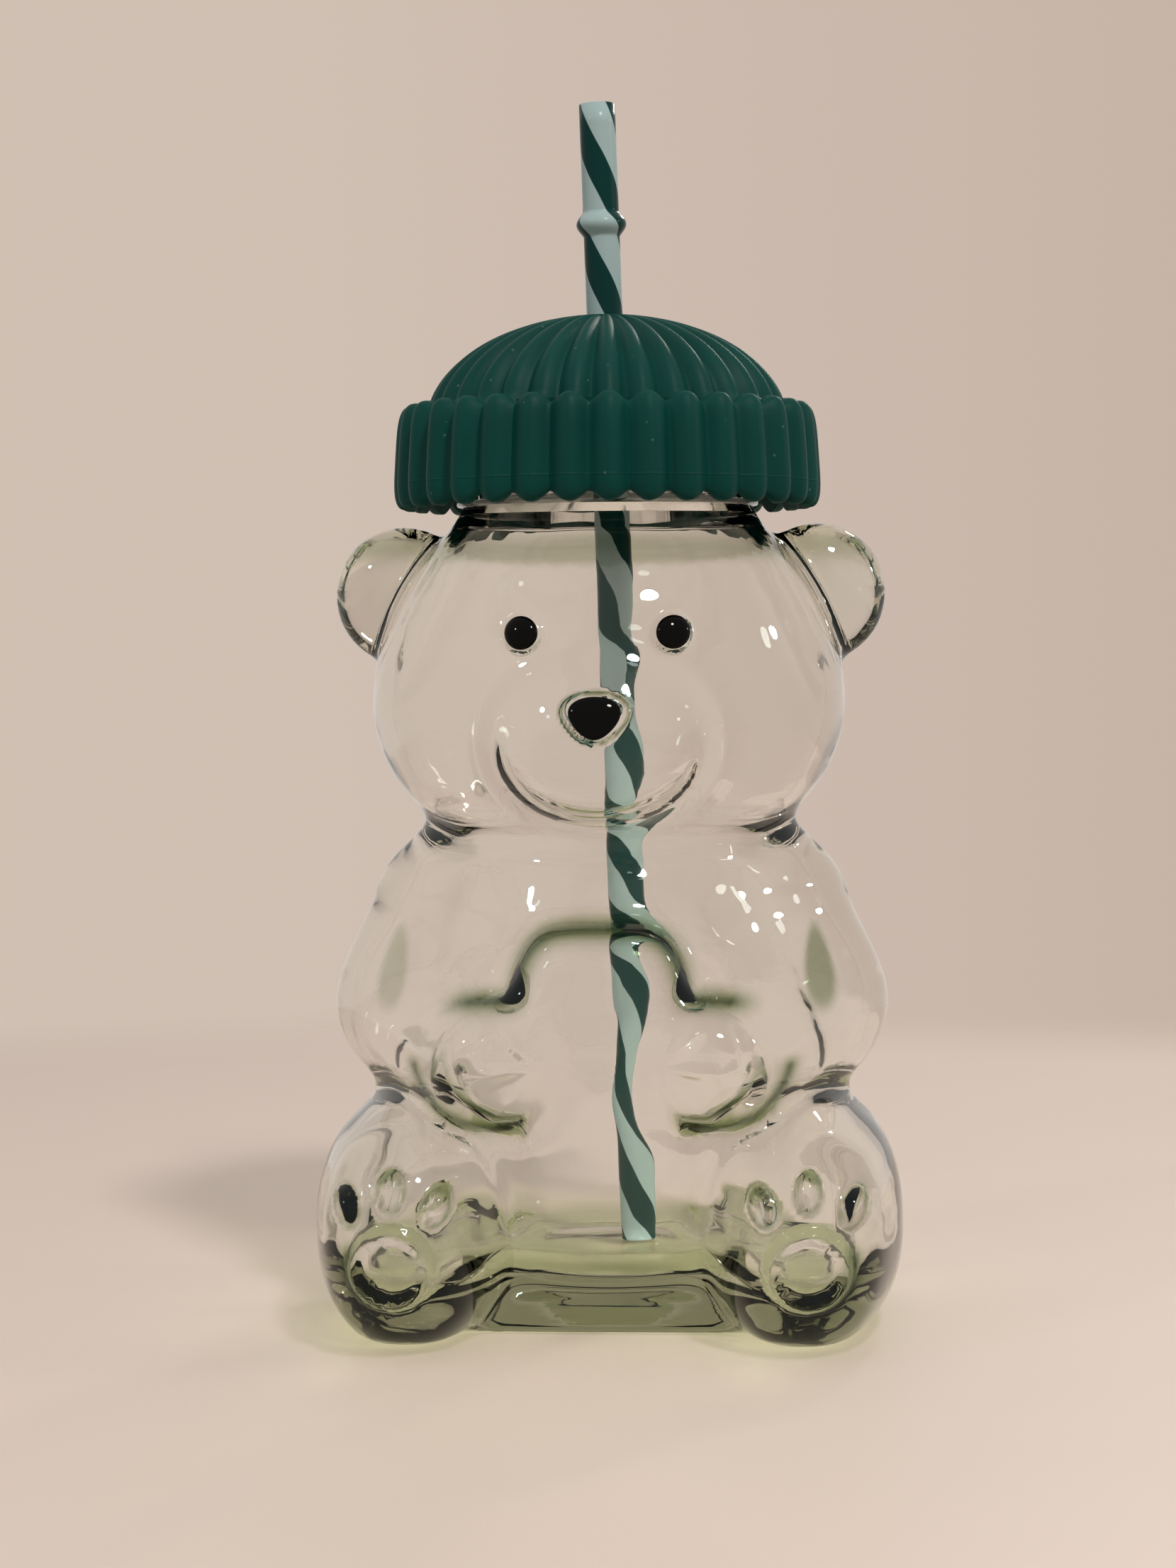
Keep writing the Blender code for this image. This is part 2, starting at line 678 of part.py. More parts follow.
def glass_shell(finish):
    """The whole glass: outer skin, neck, rim, bore and inner skin as one closed surface."""
    shell = Shell()
    outer = skin_grid(outside, BODY_COLUMNS, 1, RELAX_ROUNDS)
    rings = [shell.ring(row) for row in outer[:-1]]
    angles = column_angles(NECK_COLUMNS)
    rings += [shell.turned_ring(radius, height, angles) for radius, height in neck_profile()]
    inner = skin_grid(hollow, NECK_COLUMNS, HOLLOW_SKIP_COUNT, HOLLOW_RELAX_ROUNDS)
    rings.append(shell.turned_ring(MOUTH_RADIUS, NECK_WAIST_HEIGHT, angles))
    rings += [shell.ring(row) for row in inner[-2::-1]]
    for lower, upper in zip(rings, rings[1:]):
        shell.join(lower, upper)
    shell.close(rings[0], (0, 0, bottom_height()))
    shell.close(rings[-1], (0, 0, FLOOR_HEIGHT))
    return shell.build("glass_bear", finish)


def bottom_height():
    """Height of the hollow under the base where the axis meets it."""
    return PUNT_DEPTH * (1 - (PUNT_CENTRE_BACK / PUNT_RADIUS) ** 2)


def front_point(side, height):
    """The point of the outer skin straight ahead of a place on the middle plane, and its normal."""
    far, near = -RAY_LENGTH, 0
    for _ in range(BISECT_STEPS):
        middle = (far + near) / 2
        if outside(np.array((side, middle, height))) < 0:
            near = middle
        else:
            far = middle
    point = np.array((side, near, height))
    slope = slope_of(outside, point)
    return Vector(point), Vector(slope).normalized()


def facing(point, normal):
    """A frame on the skin: its Z is the normal, its X lies level and its Y points up the skin."""
    across = Vector((0, 0, 1)).cross(normal).normalized()
    up = normal.cross(across)
    turned_frame = Matrix((across, up, normal)).transposed().to_4x4()
    return Matrix.Translation(point) @ turned_frame


def disc(outline, depth, rise, shares):
    """Points and faces of a disc with a flat back at -depth, raised in front by a table of shares."""
    count = len(outline)
    points = [(x, y, -depth) for x, y in outline]
    faces = [tuple(reversed(range(count)))]
    for radius_share, rise_share in shares[:-1]:
        first = len(points)
        points += [(x * radius_share, y * radius_share, rise * rise_share) for x, y in outline]
        for at in range(count):
            beside = (at + 1) % count
            faces.append((first - count + at, first - count + beside, first + beside, first + at))
    tip = len(points)
    points.append((0, 0, rise * shares[-1][1]))
    first = tip - count
    faces += [(first + at, first + (at + 1) % count, tip) for at in range(count)]
    return points, faces


def oval(half_width, half_height, lean=0.0):
    """An oval outline, turned clockwise by an angle."""
    outline = []
    for at in range(MARK_COLUMNS):
        angle = 2 * math.pi * at / MARK_COLUMNS
        across, up = half_width * math.cos(angle), half_height * math.sin(angle)
        turned_across = across * math.cos(lean) + up * math.sin(lean)
        outline.append((turned_across, up * math.cos(lean) - across * math.sin(lean)))
    return outline


def nose_outline(half_width, half_height):
    """A rounded triangle, wide at the top: an oval whose sides draw in towards the bottom."""
    return [
        (across * (1 + NOSE_TAPER_SHARE * up / half_height) / (1 + NOSE_TAPER_SHARE / 2), up)
        for across, up in oval(half_width, half_height)
    ]


def mark_list():
    """Each raised mark as (place across, height, outline, relief, shares)."""
    marks = []
    for side in (-1, 1):
        pad = oval(PAD_RADIUS, PAD_RADIUS)
        marks.append((side * PAD_SIDE, PAD_HEIGHT, pad, PAD_RELIEF, LIPPED_SHARES))
        for at in (-1, 0, 1):
            angle = math.radians(at * TOE_FAN_DEGREES)
            across = side * PAD_SIDE + TOE_CIRCLE_RADIUS * math.sin(angle)
            height = PAD_HEIGHT + TOE_CIRCLE_RADIUS * math.cos(angle)
            toe = oval(TOE_HALF_WIDTH, TOE_HALF_HEIGHT, angle / 2)
            marks.append((across, height, toe, TOE_RELIEF, DOME_SHARES))
        eye = oval(EYE_BOSS_RADIUS, EYE_BOSS_RADIUS)
        marks.append((side * EYE_SIDE, EYE_HEIGHT, eye, EYE_BOSS_RELIEF, FLAT_SHARES))
    nose = nose_outline(NOSE_HALF_WIDTH, NOSE_HALF_HEIGHT)
    marks.append((0, NOSE_HEIGHT, nose, NOSE_RELIEF, FLAT_SHARES))
    return marks


def raise_marks(glass, finish):
    """Joins every raised mark to the glass: discs in one helper mesh, each rooted in the skin."""
    points, faces = [], []
    for across, height, outline, relief, shares in mark_list():
        frame = facing(*front_point(across, height))
        mark_points, mark_faces = disc(outline, MARK_ROOT, relief, shares)
        first = len(points)
        points += [tuple(frame @ Vector(point)) for point in mark_points]
        faces += [tuple(first + corner for corner in face) for face in mark_faces]
    mesh = bpy.data.meshes.new("raised_marks")
    mesh.from_pydata(points, [], faces)
    mesh.materials.append(finish)
    helper = bpy.data.objects.new("raised_marks", mesh)
    bpy.context.scene.collection.objects.link(helper)
    helper.hide_render = True
    helper.display_type = "WIRE"
    union = glass.modifiers.new("raised_marks", "BOOLEAN")
    union.operation = "UNION"
    union.solver = "EXACT"
    union.object = helper
    return helper


def enamel(name, across, height, relief, outline, dome, finish):
    """A drop of enamel that lies on the flat top of its raised boss."""
    point, normal = front_point(across, height)
    points, faces = disc(outline, 0, dome, DOME_SHARES)
    lifted = [(x, y, z if at >= len(outline) else z - ENAMEL_EDGE) for at, (x, y, z) in enumerate(points)]
    mesh = bpy.data.meshes.new(name)
    mesh.from_pydata(lifted, [], faces)
    mesh.materials.append(finish)
    mesh.shade_smooth()
    made = bpy.data.objects.new(name, mesh)
    made.matrix_world = facing(point + normal * (relief + GAP + ENAMEL_EDGE), normal)
    bpy.context.scene.collection.objects.link(made)
    return made


def screw_cap(finish):
    """Skirt, plate with a flange that the cover snaps over, and the chimney that holds the bush."""
    skirt_bore = CAP_SKIRT_RADIUS - CAP_SKIRT_WALL
    skirt_foot = RIM_HEIGHT - CAP_SKIRT_DROP
    profile = (
        (skirt_bore, skirt_foot),
        (skirt_bore, CAP_UNDERSIDE),
        (CHIMNEY_BORE_RADIUS, CAP_UNDERSIDE),
        (CHIMNEY_BORE_RADIUS, CHIMNEY_TOP),
        (CHIMNEY_RADIUS, CHIMNEY_TOP),
        (CHIMNEY_RADIUS, CAP_TOP),
        (CAP_FLANGE_RADIUS, CAP_TOP),
        (CAP_FLANGE_RADIUS, CAP_UNDERSIDE),
        (CAP_SKIRT_RADIUS, CAP_UNDERSIDE),
        (CAP_SKIRT_RADIUS, skirt_foot),
    )
    return turned("screw_cap", profile, finish)


def cap_gasket(finish):
    """A flat washer between the rim of the glass and the cap."""
    outer = CAP_SKIRT_RADIUS - CAP_SKIRT_WALL - GAP
    inner = outer - GASKET_WIDTH
    top = GASKET_HEIGHT + GASKET_THICKNESS
    profile = ((inner, GASKET_HEIGHT), (inner, top), (outer, top), (outer, GASKET_HEIGHT))
    return turned("cap_gasket", profile, finish)


def straw_bush(finish):
    """A top-hat bush: its body fills the chimney and its flange lies on top."""
    top = CHIMNEY_TOP + GAP + BUSH_FLANGE
    body = CHIMNEY_BORE_RADIUS - GAP
    profile = (
        (BUSH_BORE_RADIUS, top - BUSH_LENGTH),
        (BUSH_BORE_RADIUS, top),
        (BUSH_FLANGE_RADIUS, top),
        (BUSH_FLANGE_RADIUS, CHIMNEY_TOP + GAP),
        (body, CHIMNEY_TOP + GAP),
        (body, top - BUSH_LENGTH),
    )
    return turned("straw_grommet", profile, finish)


def cuff_line(thickness, half_height):
    """The outside of the cuff from bottom to top: half of a superellipse, a little wider at the foot."""
    middle = CUFF_BOTTOM + CUFF_HEIGHT / 2
    line = []
    for row in range(CUFF_ROWS):
        angle = math.pi * (row / (CUFF_ROWS - 1) - 1 / 2)
        out = max(math.cos(angle), 0) ** (2 / CUFF_POWER)
        rise = math.copysign(abs(math.sin(angle)) ** (2 / CUFF_POWER), angle)
        line.append((CUFF_INNER_RADIUS + thickness * out - CUFF_FLARE * rise, middle + half_height * rise))
    return line


def dome_line(rib_depth):
    """The outside of the dome from the cuff to the straw hole, drawn in by ribs that fade upwards."""
    start = math.asin((CUFF_TOP - DOME_CENTRE_HEIGHT) / DOME_HALF_HEIGHT)
    end = math.acos(STRAW_HOLE_RADIUS / DOME_HALF_WIDTH)
    line = []
    for row in range(DOME_ROWS + 1):
        angle = start + (end - start) * row / DOME_ROWS
        radius = DOME_HALF_WIDTH * math.cos(angle)
        depth = rib_depth * min(1, max(0, radius - STRAW_HOLE_RADIUS) / DOME_RIB_FADE_RADIUS)
        height = DOME_CENTRE_HEIGHT + (DOME_HALF_HEIGHT - depth) * math.sin(angle)
        line.append((radius - depth * math.cos(angle), height))
    return line


def cover_lines():
    """The outside of the cover at the crest of a rib and at the groove between two ribs."""
    crest = cuff_line(CUFF_THICKNESS, CUFF_HEIGHT / 2)
    groove = cuff_line(CUFF_THICKNESS - RIB_DEPTH, CUFF_HEIGHT / 2 - RIB_NOTCH)
    fold = (CUFF_INNER_RADIUS + DOME_HALF_WIDTH) / 2 - CUFF_FLARE
    crest.append((fold, CUFF_TOP - RIB_NOTCH / 2))
    groove.append((fold - RIB_DEPTH / 2, CUFF_TOP - RIB_NOTCH * 2))
    return crest + dome_line(0), groove + dome_line(DOME_RIB_DEPTH)


def cover_inside():
    """The inside of the cover from the cuff up: lead-in, snap bead, flange groove, dome, straw hole."""
    bead_top = CAP_UNDERSIDE - GAP
    bead_bottom = bead_top - SNAP_BEAD_HEIGHT
    bead = CAP_FLANGE_RADIUS - SNAP_BEAD
    seat = CAP_FLANGE_RADIUS + FLANGE_CLEARANCE
    groove_top = CAP_TOP + GAP
    half_width, half_height = DOME_HALF_WIDTH - DOME_WALL, DOME_HALF_HEIGHT - DOME_WALL
    start = math.degrees(math.asin((groove_top - DOME_CENTRE_HEIGHT) / half_height))
    end = math.degrees(math.acos(STRAW_HOLE_RADIUS / half_width))
    line = [(CUFF_INNER_RADIUS, CUFF_BOTTOM + RIB_NOTCH * 2)]
    line += [(CUFF_INNER_RADIUS, bead_bottom - (CUFF_INNER_RADIUS - bead) / 2), (bead, bead_bottom)]
    line += [(bead, bead_top), (seat, bead_top), (seat, groove_top)]
    return line + arc((0, DOME_CENTRE_HEIGHT), (half_width, half_height), start, end, DOME_ROWS)


def beanie_cover(finish):
    """The ribbed cover: every column round it lies between the crest line and the groove line."""
    shell = Shell()
    columns = RIB_COUNT * RIB_COLUMNS
    turn = math.radians(HAT_TURN_DEGREES)
    crest, groove = cover_lines()
    rings = []
    for (crest_radius, crest_height), (groove_radius, groove_height) in zip(crest, groove):
        ring = []
        for at in range(columns):
            angle = 2 * math.pi * at / columns
            share = abs(math.sin(RIB_COUNT * angle / 2))
            sunk = 1 - math.sqrt(1 - RIB_ROUND_SHARE * share**2)
            sunk /= 1 - math.sqrt(1 - RIB_ROUND_SHARE)
            radius = crest_radius + (groove_radius - crest_radius) * sunk
            height = crest_height + (groove_height - crest_height) * sunk
            angle += turn
            ring.append((radius * math.sin(angle), -radius * math.cos(angle), height))
        rings.append(shell.ring(ring))
    few = [turn + 2 * math.pi * at / RIB_COUNT for at in range(RIB_COUNT)]
    rings += [shell.turned_ring(radius, height, few) for radius, height in cover_inside()[::-1]]
    for at, ring in enumerate(rings):
        shell.join(ring, rings[(at + 1) % len(rings)])
    return shell.build("beanie_cover", finish)


def straw_profile(foot):
    """Outside and bore of the straw along its own axis, with the formed stop ring near the top."""
    top = STRAW_SHOWING
    ring = top - STOP_RING_BELOW_TOP
    half = STOP_RING_HEIGHT / 2
    bore = STRAW_RADIUS - STRAW_WALL
    profile = [(STRAW_RADIUS, foot), (STRAW_RADIUS, ring - half)]
    profile += [(STOP_RING_RADIUS, ring - half / 2), (STOP_RING_RADIUS, ring + half / 2)]
    profile += [(STRAW_RADIUS, ring + half), (STRAW_RADIUS, top), (bore, top), (bore, foot)]
    return profile


def straw(finish):
    """The straw, which leans in its bush so that its foot rests off centre on the floor."""
    lean = math.atan(STRAW_LEAN_SLOPE)
    lowest = STRAW_FOOT_HEIGHT + STRAW_RADIUS * math.sin(lean)
    foot = (lowest - BUSH_MIDDLE) / math.cos(lean)
    made = turned("straw", straw_profile(foot), finish, STRAW_COLUMNS)
    made.location = (0, 0, BUSH_MIDDLE)
    made.rotation_euler = (0, -lean, 0)
    return made


def centre_on_glass(glass, pieces):
    """Moves everything along Y so that the glass stands centred on the origin."""
    bpy.context.view_layer.update()
    mesh = glass.evaluated_get(bpy.context.evaluated_depsgraph_get()).to_mesh()
    depths = [corner.co.y for corner in mesh.vertices]
    anchor = bpy.data.objects.new("tumbler", None)
    anchor.location = (0, -(min(depths) + max(depths)) / 2, 0)
    bpy.context.scene.collection.objects.link(anchor)
    for piece in pieces:
        piece.parent = anchor
    print("neck axis at y =", round(anchor.location.y, 6))


def main():
    for old in list(bpy.data.objects):
        bpy.data.objects.remove(old, do_unlink=True)
    clear = material("clear_glass", GLASS_COLOUR, 0.05, 0.9)
    black = material("black_enamel", ENAMEL_COLOUR, 0.15)
    green = material("green_silicone", HAT_COLOUR, 0.6)
    white = material("cap_polypropylene", CAP_COLOUR, 0.4)
    soft = material("pale_silicone", GASKET_COLOUR, 0.6)
    striped = material("straw_plastic", STRAW_COLOUR, 0.3)
    glass = glass_shell(clear)
    marks = raise_marks(glass, clear)
    eye = oval(EYE_RADIUS, EYE_RADIUS)
    nose = nose_outline(NOSE_ENAMEL_HALF_WIDTH, NOSE_ENAMEL_HALF_HEIGHT)
    pieces = [
        glass,
        marks,
        enamel("right_eye", -EYE_SIDE, EYE_HEIGHT, EYE_BOSS_RELIEF, eye, EYE_DOME, black),
        enamel("left_eye", EYE_SIDE, EYE_HEIGHT, EYE_BOSS_RELIEF, eye, EYE_DOME, black),
        enamel("nose", 0, NOSE_HEIGHT, NOSE_RELIEF, nose, NOSE_ENAMEL_DOME, black),
        screw_cap(white),
        cap_gasket(soft),
        straw_bush(soft),
        beanie_cover(green),
        straw(striped),
    ]
    centre_on_glass(glass, pieces)


if __name__ == "__main__":
    main()
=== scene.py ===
"""Bear-shaped glass tumbler with a ribbed hat lid and a striped straw, dressed for rendering.

The glass is worked out from a smooth union of rounded lumps: a grid of points is read along rays from a
spine inside the bear, relaxed, made finer twice, and lifted by the raised marks. Everything is in metres.
The bear faces -Y, and heights are measured from the table.
"""

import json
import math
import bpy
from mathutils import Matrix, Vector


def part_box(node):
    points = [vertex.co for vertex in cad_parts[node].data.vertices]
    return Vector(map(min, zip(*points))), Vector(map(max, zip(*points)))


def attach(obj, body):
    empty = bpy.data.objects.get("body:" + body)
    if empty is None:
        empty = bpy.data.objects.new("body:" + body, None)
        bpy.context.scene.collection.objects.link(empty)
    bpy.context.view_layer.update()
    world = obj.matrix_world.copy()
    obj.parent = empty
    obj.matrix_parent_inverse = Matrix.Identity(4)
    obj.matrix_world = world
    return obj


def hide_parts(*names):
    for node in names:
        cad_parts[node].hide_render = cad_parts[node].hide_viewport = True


bl_info = {
    "name": "Bear glass tumbler",
    "version": (1, 0, 0),
    "blender": (4, 5, 0),
    "location": "3D View > Sidebar > Tumbler",
    "description": "Builds a bear-shaped glass tumbler with a ribbed hat lid and a striped straw",
    "category": "Add Mesh",
}

import bpy
import numpy as np
from bpy.props import FloatProperty, FloatVectorProperty, IntProperty, PointerProperty
from mathutils import Matrix, Vector

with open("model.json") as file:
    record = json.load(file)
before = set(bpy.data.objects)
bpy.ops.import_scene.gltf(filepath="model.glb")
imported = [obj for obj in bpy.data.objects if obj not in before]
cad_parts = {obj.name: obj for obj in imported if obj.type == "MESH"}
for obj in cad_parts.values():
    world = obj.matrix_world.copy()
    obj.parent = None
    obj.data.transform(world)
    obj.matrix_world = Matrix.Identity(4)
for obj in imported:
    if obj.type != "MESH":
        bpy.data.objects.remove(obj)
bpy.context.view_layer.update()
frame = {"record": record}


def joint_place(name):
    """The point on a joint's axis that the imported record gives."""
    joints = frame["record"]["behaviour"]["joints"]
    return next(joint["pos_m"] for joint in joints if joint["name"] == name)


# The neck axis is upright, and everything round stands on it
NECK_AXIS = np.array((0.0, joint_place("lid_turn")[1], 0.0))
BUSH_MIDDLE = joint_place("straw_swivel")[2]
RIM_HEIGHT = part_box("glass_bear")[1][2]
NECK_WAIST_HEIGHT = RIM_HEIGHT - 0.0151
NECK_WAIST_RADIUS = 0.0253
FINISH_RADIUS = 0.0251
MOUTH_RADIUS = 0.0220
# Clearance between pieces that seat on one another, and the small chamfer on the turned ones
GAP = 0.0003
CHAMFER = 0.0003

# The cap under the cover, the cover itself, and the straw that leans through both
CAP_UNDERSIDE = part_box("cap_gasket")[1][2] + GAP
CAP_PLATE = 0.0018
CHIMNEY_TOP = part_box("screw_cap")[1][2]
FLANGE_RADIUS = 0.0315
FLANGE_GAP = 0.0004
CUFF_BOTTOM = RIM_HEIGHT - 0.0137
CUFF_HEIGHT = 0.0187
CUFF_INNER_RADIUS = 0.0346
COVER_WALL = 0.0026
DOME_FOOT = CAP_UNDERSIDE - FLANGE_GAP
DOME_RADIUS = 0.0325
DOME_RISE = 0.0195
STRAW_HOLE = 0.0042
SEAM_RISE = 0.0045
STRAW_SHOWING = 0.0455
STRAW_LEAN = 0.030

# The glass: its floor and walls, the shallow hollow under its base, and the marks on its front
FLOOR_HEIGHT = 0.0095
FLOOR_FILLET = 0.0090
BODY_WALL = 0.0038
LEAST_WALL = 0.0026
HOLLOW_BLEND = 0.0140
BASE_FILLET = 0.0022
PUNT_BACK = 0.007
PUNT_RADIUS = 0.015
PUNT_DEPTH = 0.0015
HEAD_HEIGHT = 0.110
PANEL_HEIGHT = 0.0500
PANEL_HALF = (0.0162, 1, 0.0238)
PANEL_POWER = 3.4
FOOT_SIDE = 0.035
PAD_HEIGHT = 0.016
TOE_CIRCLE = 0.0127
TOE_ANGLES = [math.radians(angle) for angle in (-37, 0, 37)]
EYE_SIDE = 0.0126
EYE_HEIGHT = 0.1223
EYE_LIFT = 0.0008
NOSE_HEIGHT = 0.1083
NOSE_HALF = (0.0064, 0.0043)
NOSE_LIFT = 0.0020

# How the skin of the glass is divided, before it is made finer twice
SKIN_COLUMNS = 68
BASE_ROWS = 5
WALL_ROWS = 42
SHOULDER_ROWS = 6
ROW_CROWDS = 3
CROWD_SHARE = 0.45
FRONT_DENSITY = 0.30
CAST_BLEND = 0.0160
SPINE_BOTTOM = 0.0200
BARREL_RADIUS = 0.0420
BARREL_BASE_RADIUS = 0.0330
BARREL_TOP = 0.1250
RAY_LENGTH = 0.090
SLOPE_STEP = 0.00002
LONGEST_DROP = 0.002


def linear(code):
    """A colour written as sRGB hex, in Blender's linear values: each channel is raised to about 2.4."""
    channels = [int(code[at : at + 2], 16) / 255 for at in (1, 3, 5)]
    return tuple(
        channel / 12.92 if channel <= 0.04045 else ((channel + 0.055) / 1.055) ** 2.4
        for channel in channels
    )


def distance(name, description, default):
    """A setting that holds a distance in metres."""
    return FloatProperty(name=name, description=description, default=default, subtype="DISTANCE")


def paint(name, description, code):
    """A setting that holds a colour, with its default as sRGB hex."""
    return FloatVectorProperty(
        name=name, description=description, default=linear(code), subtype="COLOR"
    )


class GlassSettings(bpy.types.PropertyGroup):
    """The bear-shaped glass and the enamel on its face."""

    tint: paint("Glass tint", "Colour that a long way through the glass takes on", "#cacdb2")
    tint_depth: FloatProperty(
        name="Tint depth",
        description="How quickly the glass takes on its tint, per metre",
        default=27.0,
        min=0,
    )
    ior: FloatProperty(
        name="Refractive index", description="Refractive index of soda-lime glass", default=1.5
    )
    wall: distance("Body wall", "Thickness of the glass at the belly", BODY_WALL)
    pad_radius: distance("Paw pad radius", "Outer radius of the raised ring on each foot", 0.0068)
    pad_relief: distance("Paw pad relief", "How far the ring on each foot stands up", 0.0018)
    toe_relief: distance("Toe relief", "How far each toe stands up", 0.0020)
    thread_pitch: distance("Thread pitch", "Rise of the neck thread in one turn", 0.00423)
    enamel: paint("Enamel colour", "Colour of the eyes and the nose", "#040404")


class CoverSettings(bpy.types.PropertyGroup):
    """The ribbed hat cover, the screw cap under it and their soft rings."""

    rib_count: IntProperty(name="Ribs", description="Ribs round the cover", default=33, min=3)
    turn: FloatProperty(
        name="Turn",
        description="Angle of the first rib from the front, towards the bear's left",
        default=math.radians(3.6),
        subtype="ANGLE",
    )
    rib_depth: distance("Rib depth", "Depth of the grooves round the cuff", 0.0020)
    colour: paint("Cover colour", "Dark green of the silicone", "#003f38")
    cap_colour: paint("Cap colour", "Natural polypropylene of the screw cap", "#dfe1dc")
    seal_colour: paint("Seal colour", "Pale silicone of the gasket and the grommet", "#e3e2dc")


class StrawSettings(bpy.types.PropertyGroup):
    """The striped straw."""

    radius: distance("Radius", "Outer radius of the straw", 0.00325)
    wall: distance("Wall", "Wall of the straw", 0.0006)
    lead: distance("Stripe lead", "Length of straw in which a stripe goes once round", 0.041)
    dark: paint("Dark stripe", "Dark green stripes", "#00322f")
    light: paint("Light stripe", "Milky stripes", "#9fb4b3")


class StageSettings(bpy.types.PropertyGroup):
    """The table, the wall behind it and the lamps."""

    table: paint("Table colour", "Pale table top", "#dacabe")
    wall_left: paint("Wall, left", "Wall at the left", "#d0c0b3")
    wall_right: paint("Wall, right", "Wall at the right", "#c5b3a6")
    lamp_power: FloatProperty(
        name="Lamp power",
        description="Power of the main lamp",
        default=5.2,
        subtype="POWER",
        unit="POWER",
    )
    room_light: FloatProperty(
        name="Room light", description="Strength of the light that comes from all round", default=0.42
    )
    room_shine: FloatProperty(
        name="Room shine",
        description="Brightness of the pale room in whatever mirrors it",
        default=0.72,
    )


def smooth_least(first, second, blend):
    """The lesser of two distances, less a quarter of the blend times the square of how near they are."""
    near = np.maximum(blend - np.abs(first - second), 0) / blend
    return np.minimum(first, second) - near * near * blend / 4


def smooth_most(first, second, blend):
    """The greater of two distances, rounded in the same way."""
    return -smooth_least(-first, -second, blend)


def egg(points, centre, low, high, power=2.0, turn=0.0):
    """Distance to a superellipsoid with its own half size in each of the six directions.

    Each offset is divided by the half size on its side and raised to the power; the root of their sum is
    1 on the surface, and dividing by its slope turns it into a distance.
    """
    place = points - np.array(centre)
    along, across = math.cos(turn), math.sin(turn)
    turned = place @ np.array(((along, -across, 0), (across, along, 0), (0, 0, 1)))
    half = np.where(turned < 0, low, high)
    share = np.abs(turned) / half
    reach = (share**power).sum(axis=-1) ** (1 / power)
    slope = np.sqrt(((share ** (power - 1) / half) ** 2).sum(axis=-1))
    slope = slope / np.maximum(reach, SLOPE_STEP) ** (power - 1)
    return (reach - 1) / np.maximum(slope, 1)


def limb(points, start, end, radii):
    """Distance to a tapered bar with round ends: the distance to its middle line less the radius there."""
    start = np.array(start)
    run = np.array(end) - start
    place = points - start
    share = np.clip(place @ run / (run @ run), 0, 1)
    return np.linalg.norm(place - share[..., None] * run, axis=-1) - (
        radii[0] + share * (radii[1] - radii[0])
    )


def panel(points):
    """Distance to the held panel: the front of an egg, inside an arch whose side leans back all round."""
    front = egg(points, (0, 0.003, 0.058), (0.044, 0.0452, 0.044), (0.044, 0.036, 0.056))
    front = np.maximum(front, points[..., 1] - 0.003)
    # The side is the arch itself 33 mm in front of the axis, and flares by 16 degrees towards the back
    leaning = 0.96 * panel_edge(points) - 0.28 * (points[..., 1] + 0.033)
    return smooth_most(front, leaning, 0.0022)


def panel_edge(points):
    """Distance to the panel's arch as it is seen from the front."""
    return egg(points * (1, 0, 1), (0, 0, PANEL_HEIGHT), PANEL_HALF, PANEL_HALF, PANEL_POWER)


def post(points, radius):
    """Distance to an upright cylinder that starts in the middle of the head."""
    return np.maximum(np.hypot(points[..., 0], points[..., 1]) - radius, HEAD_HEIGHT - points[..., 2])


# Each lump: its function, the blend with what comes before, the wall kept inside it, and its sizes.
# In turn: torso, seat, head and panel; on each side upper arm, forearm with its paw, haunch, foot and ear;
# then the thick plate of the base, the muzzle and the neck
LUMPS = [
    (egg, 0.0050, BODY_WALL, ((0, 0.003, 0.052), (0.039, 0.039, 0.0525), (0.039, 0.036, 0.052))),
    (egg, 0.0080, 0.0060, ((0, 0.005, 0.014), (0.039, 0.0262, 0.021), (0.039, 0.0315, 0.024), 3.2)),
    (egg, 0.0050, 0.0034, ((0, 0, HEAD_HEIGHT), (0.0425, 0.0395, 0.0312), (0.0425, 0.0395, 0.0418))),
    (panel, 0.0024, 0.0046, ()),
]
for side in (-1, 1):
    elbow = (side * 0.0345, 0, 0.0562)
    splay = side * math.radians(4)
    LUMPS += [
        (limb, 0.0080, 0.0052, ((side * 0.0282, 0.003, 0.0718), elbow, (0.0153, 0.0134))),
        (limb, 0.0085, 0.0048, (elbow, (side * 0.0192, -0.0352, 0.0494), (0.0134, 0.0108))),
        (
            egg,
            0.0070,
            0.0056,
            ((side * FOOT_SIDE, -0.001, 0.0175), (0.0174, 0.030, 0.0196), (0.0174, 0.025, 0.0222), 2.4),
        ),
        (
            egg,
            0.0090,
            0.0056,
            ((side * 0.0338, -0.026, 0.019), (0.015, 0.021, 0.0203), (0.015, 0.026, 0.0198), 2.3, splay),
        ),
        (egg, 0.0030, 0.0030, ((side * 0.0376, 0.005, 0.1296),) + ((0.0125, 0.0074, 0.0125),) * 2),
    ]
LUMPS += [
    (egg, 0.0020, None, ((0, 0.004, 0.0025), (0.036, 0.028, 0.005), (0.036, 0.031, 0.0052), 6.0)),
    (egg, 0.0062, 0.0040, ((0, -0.0345, 0.1036),) + ((0.0172, 0.0112, 0.0136),) * 2),
    (post, 0.0050, None, (NECK_WAIST_RADIUS,)),
]


def outer_skin(points, more_blend=0):
    """Distance to the outside of the glass: the lumps blended in turn, cut by the base and its hollow."""
    found = None
    for shape, blend, _, sizes in LUMPS:
        lump = shape(points, *sizes)
        found = lump if found is None else smooth_least(found, lump, blend + more_blend)
    reach = np.hypot(points[..., 0], points[..., 1] - PUNT_BACK) / PUNT_RADIUS
    base = PUNT_DEPTH * np.maximum(1 - reach**2, 0)
    return smooth_most(found, base - points[..., 2], BASE_FILLET)


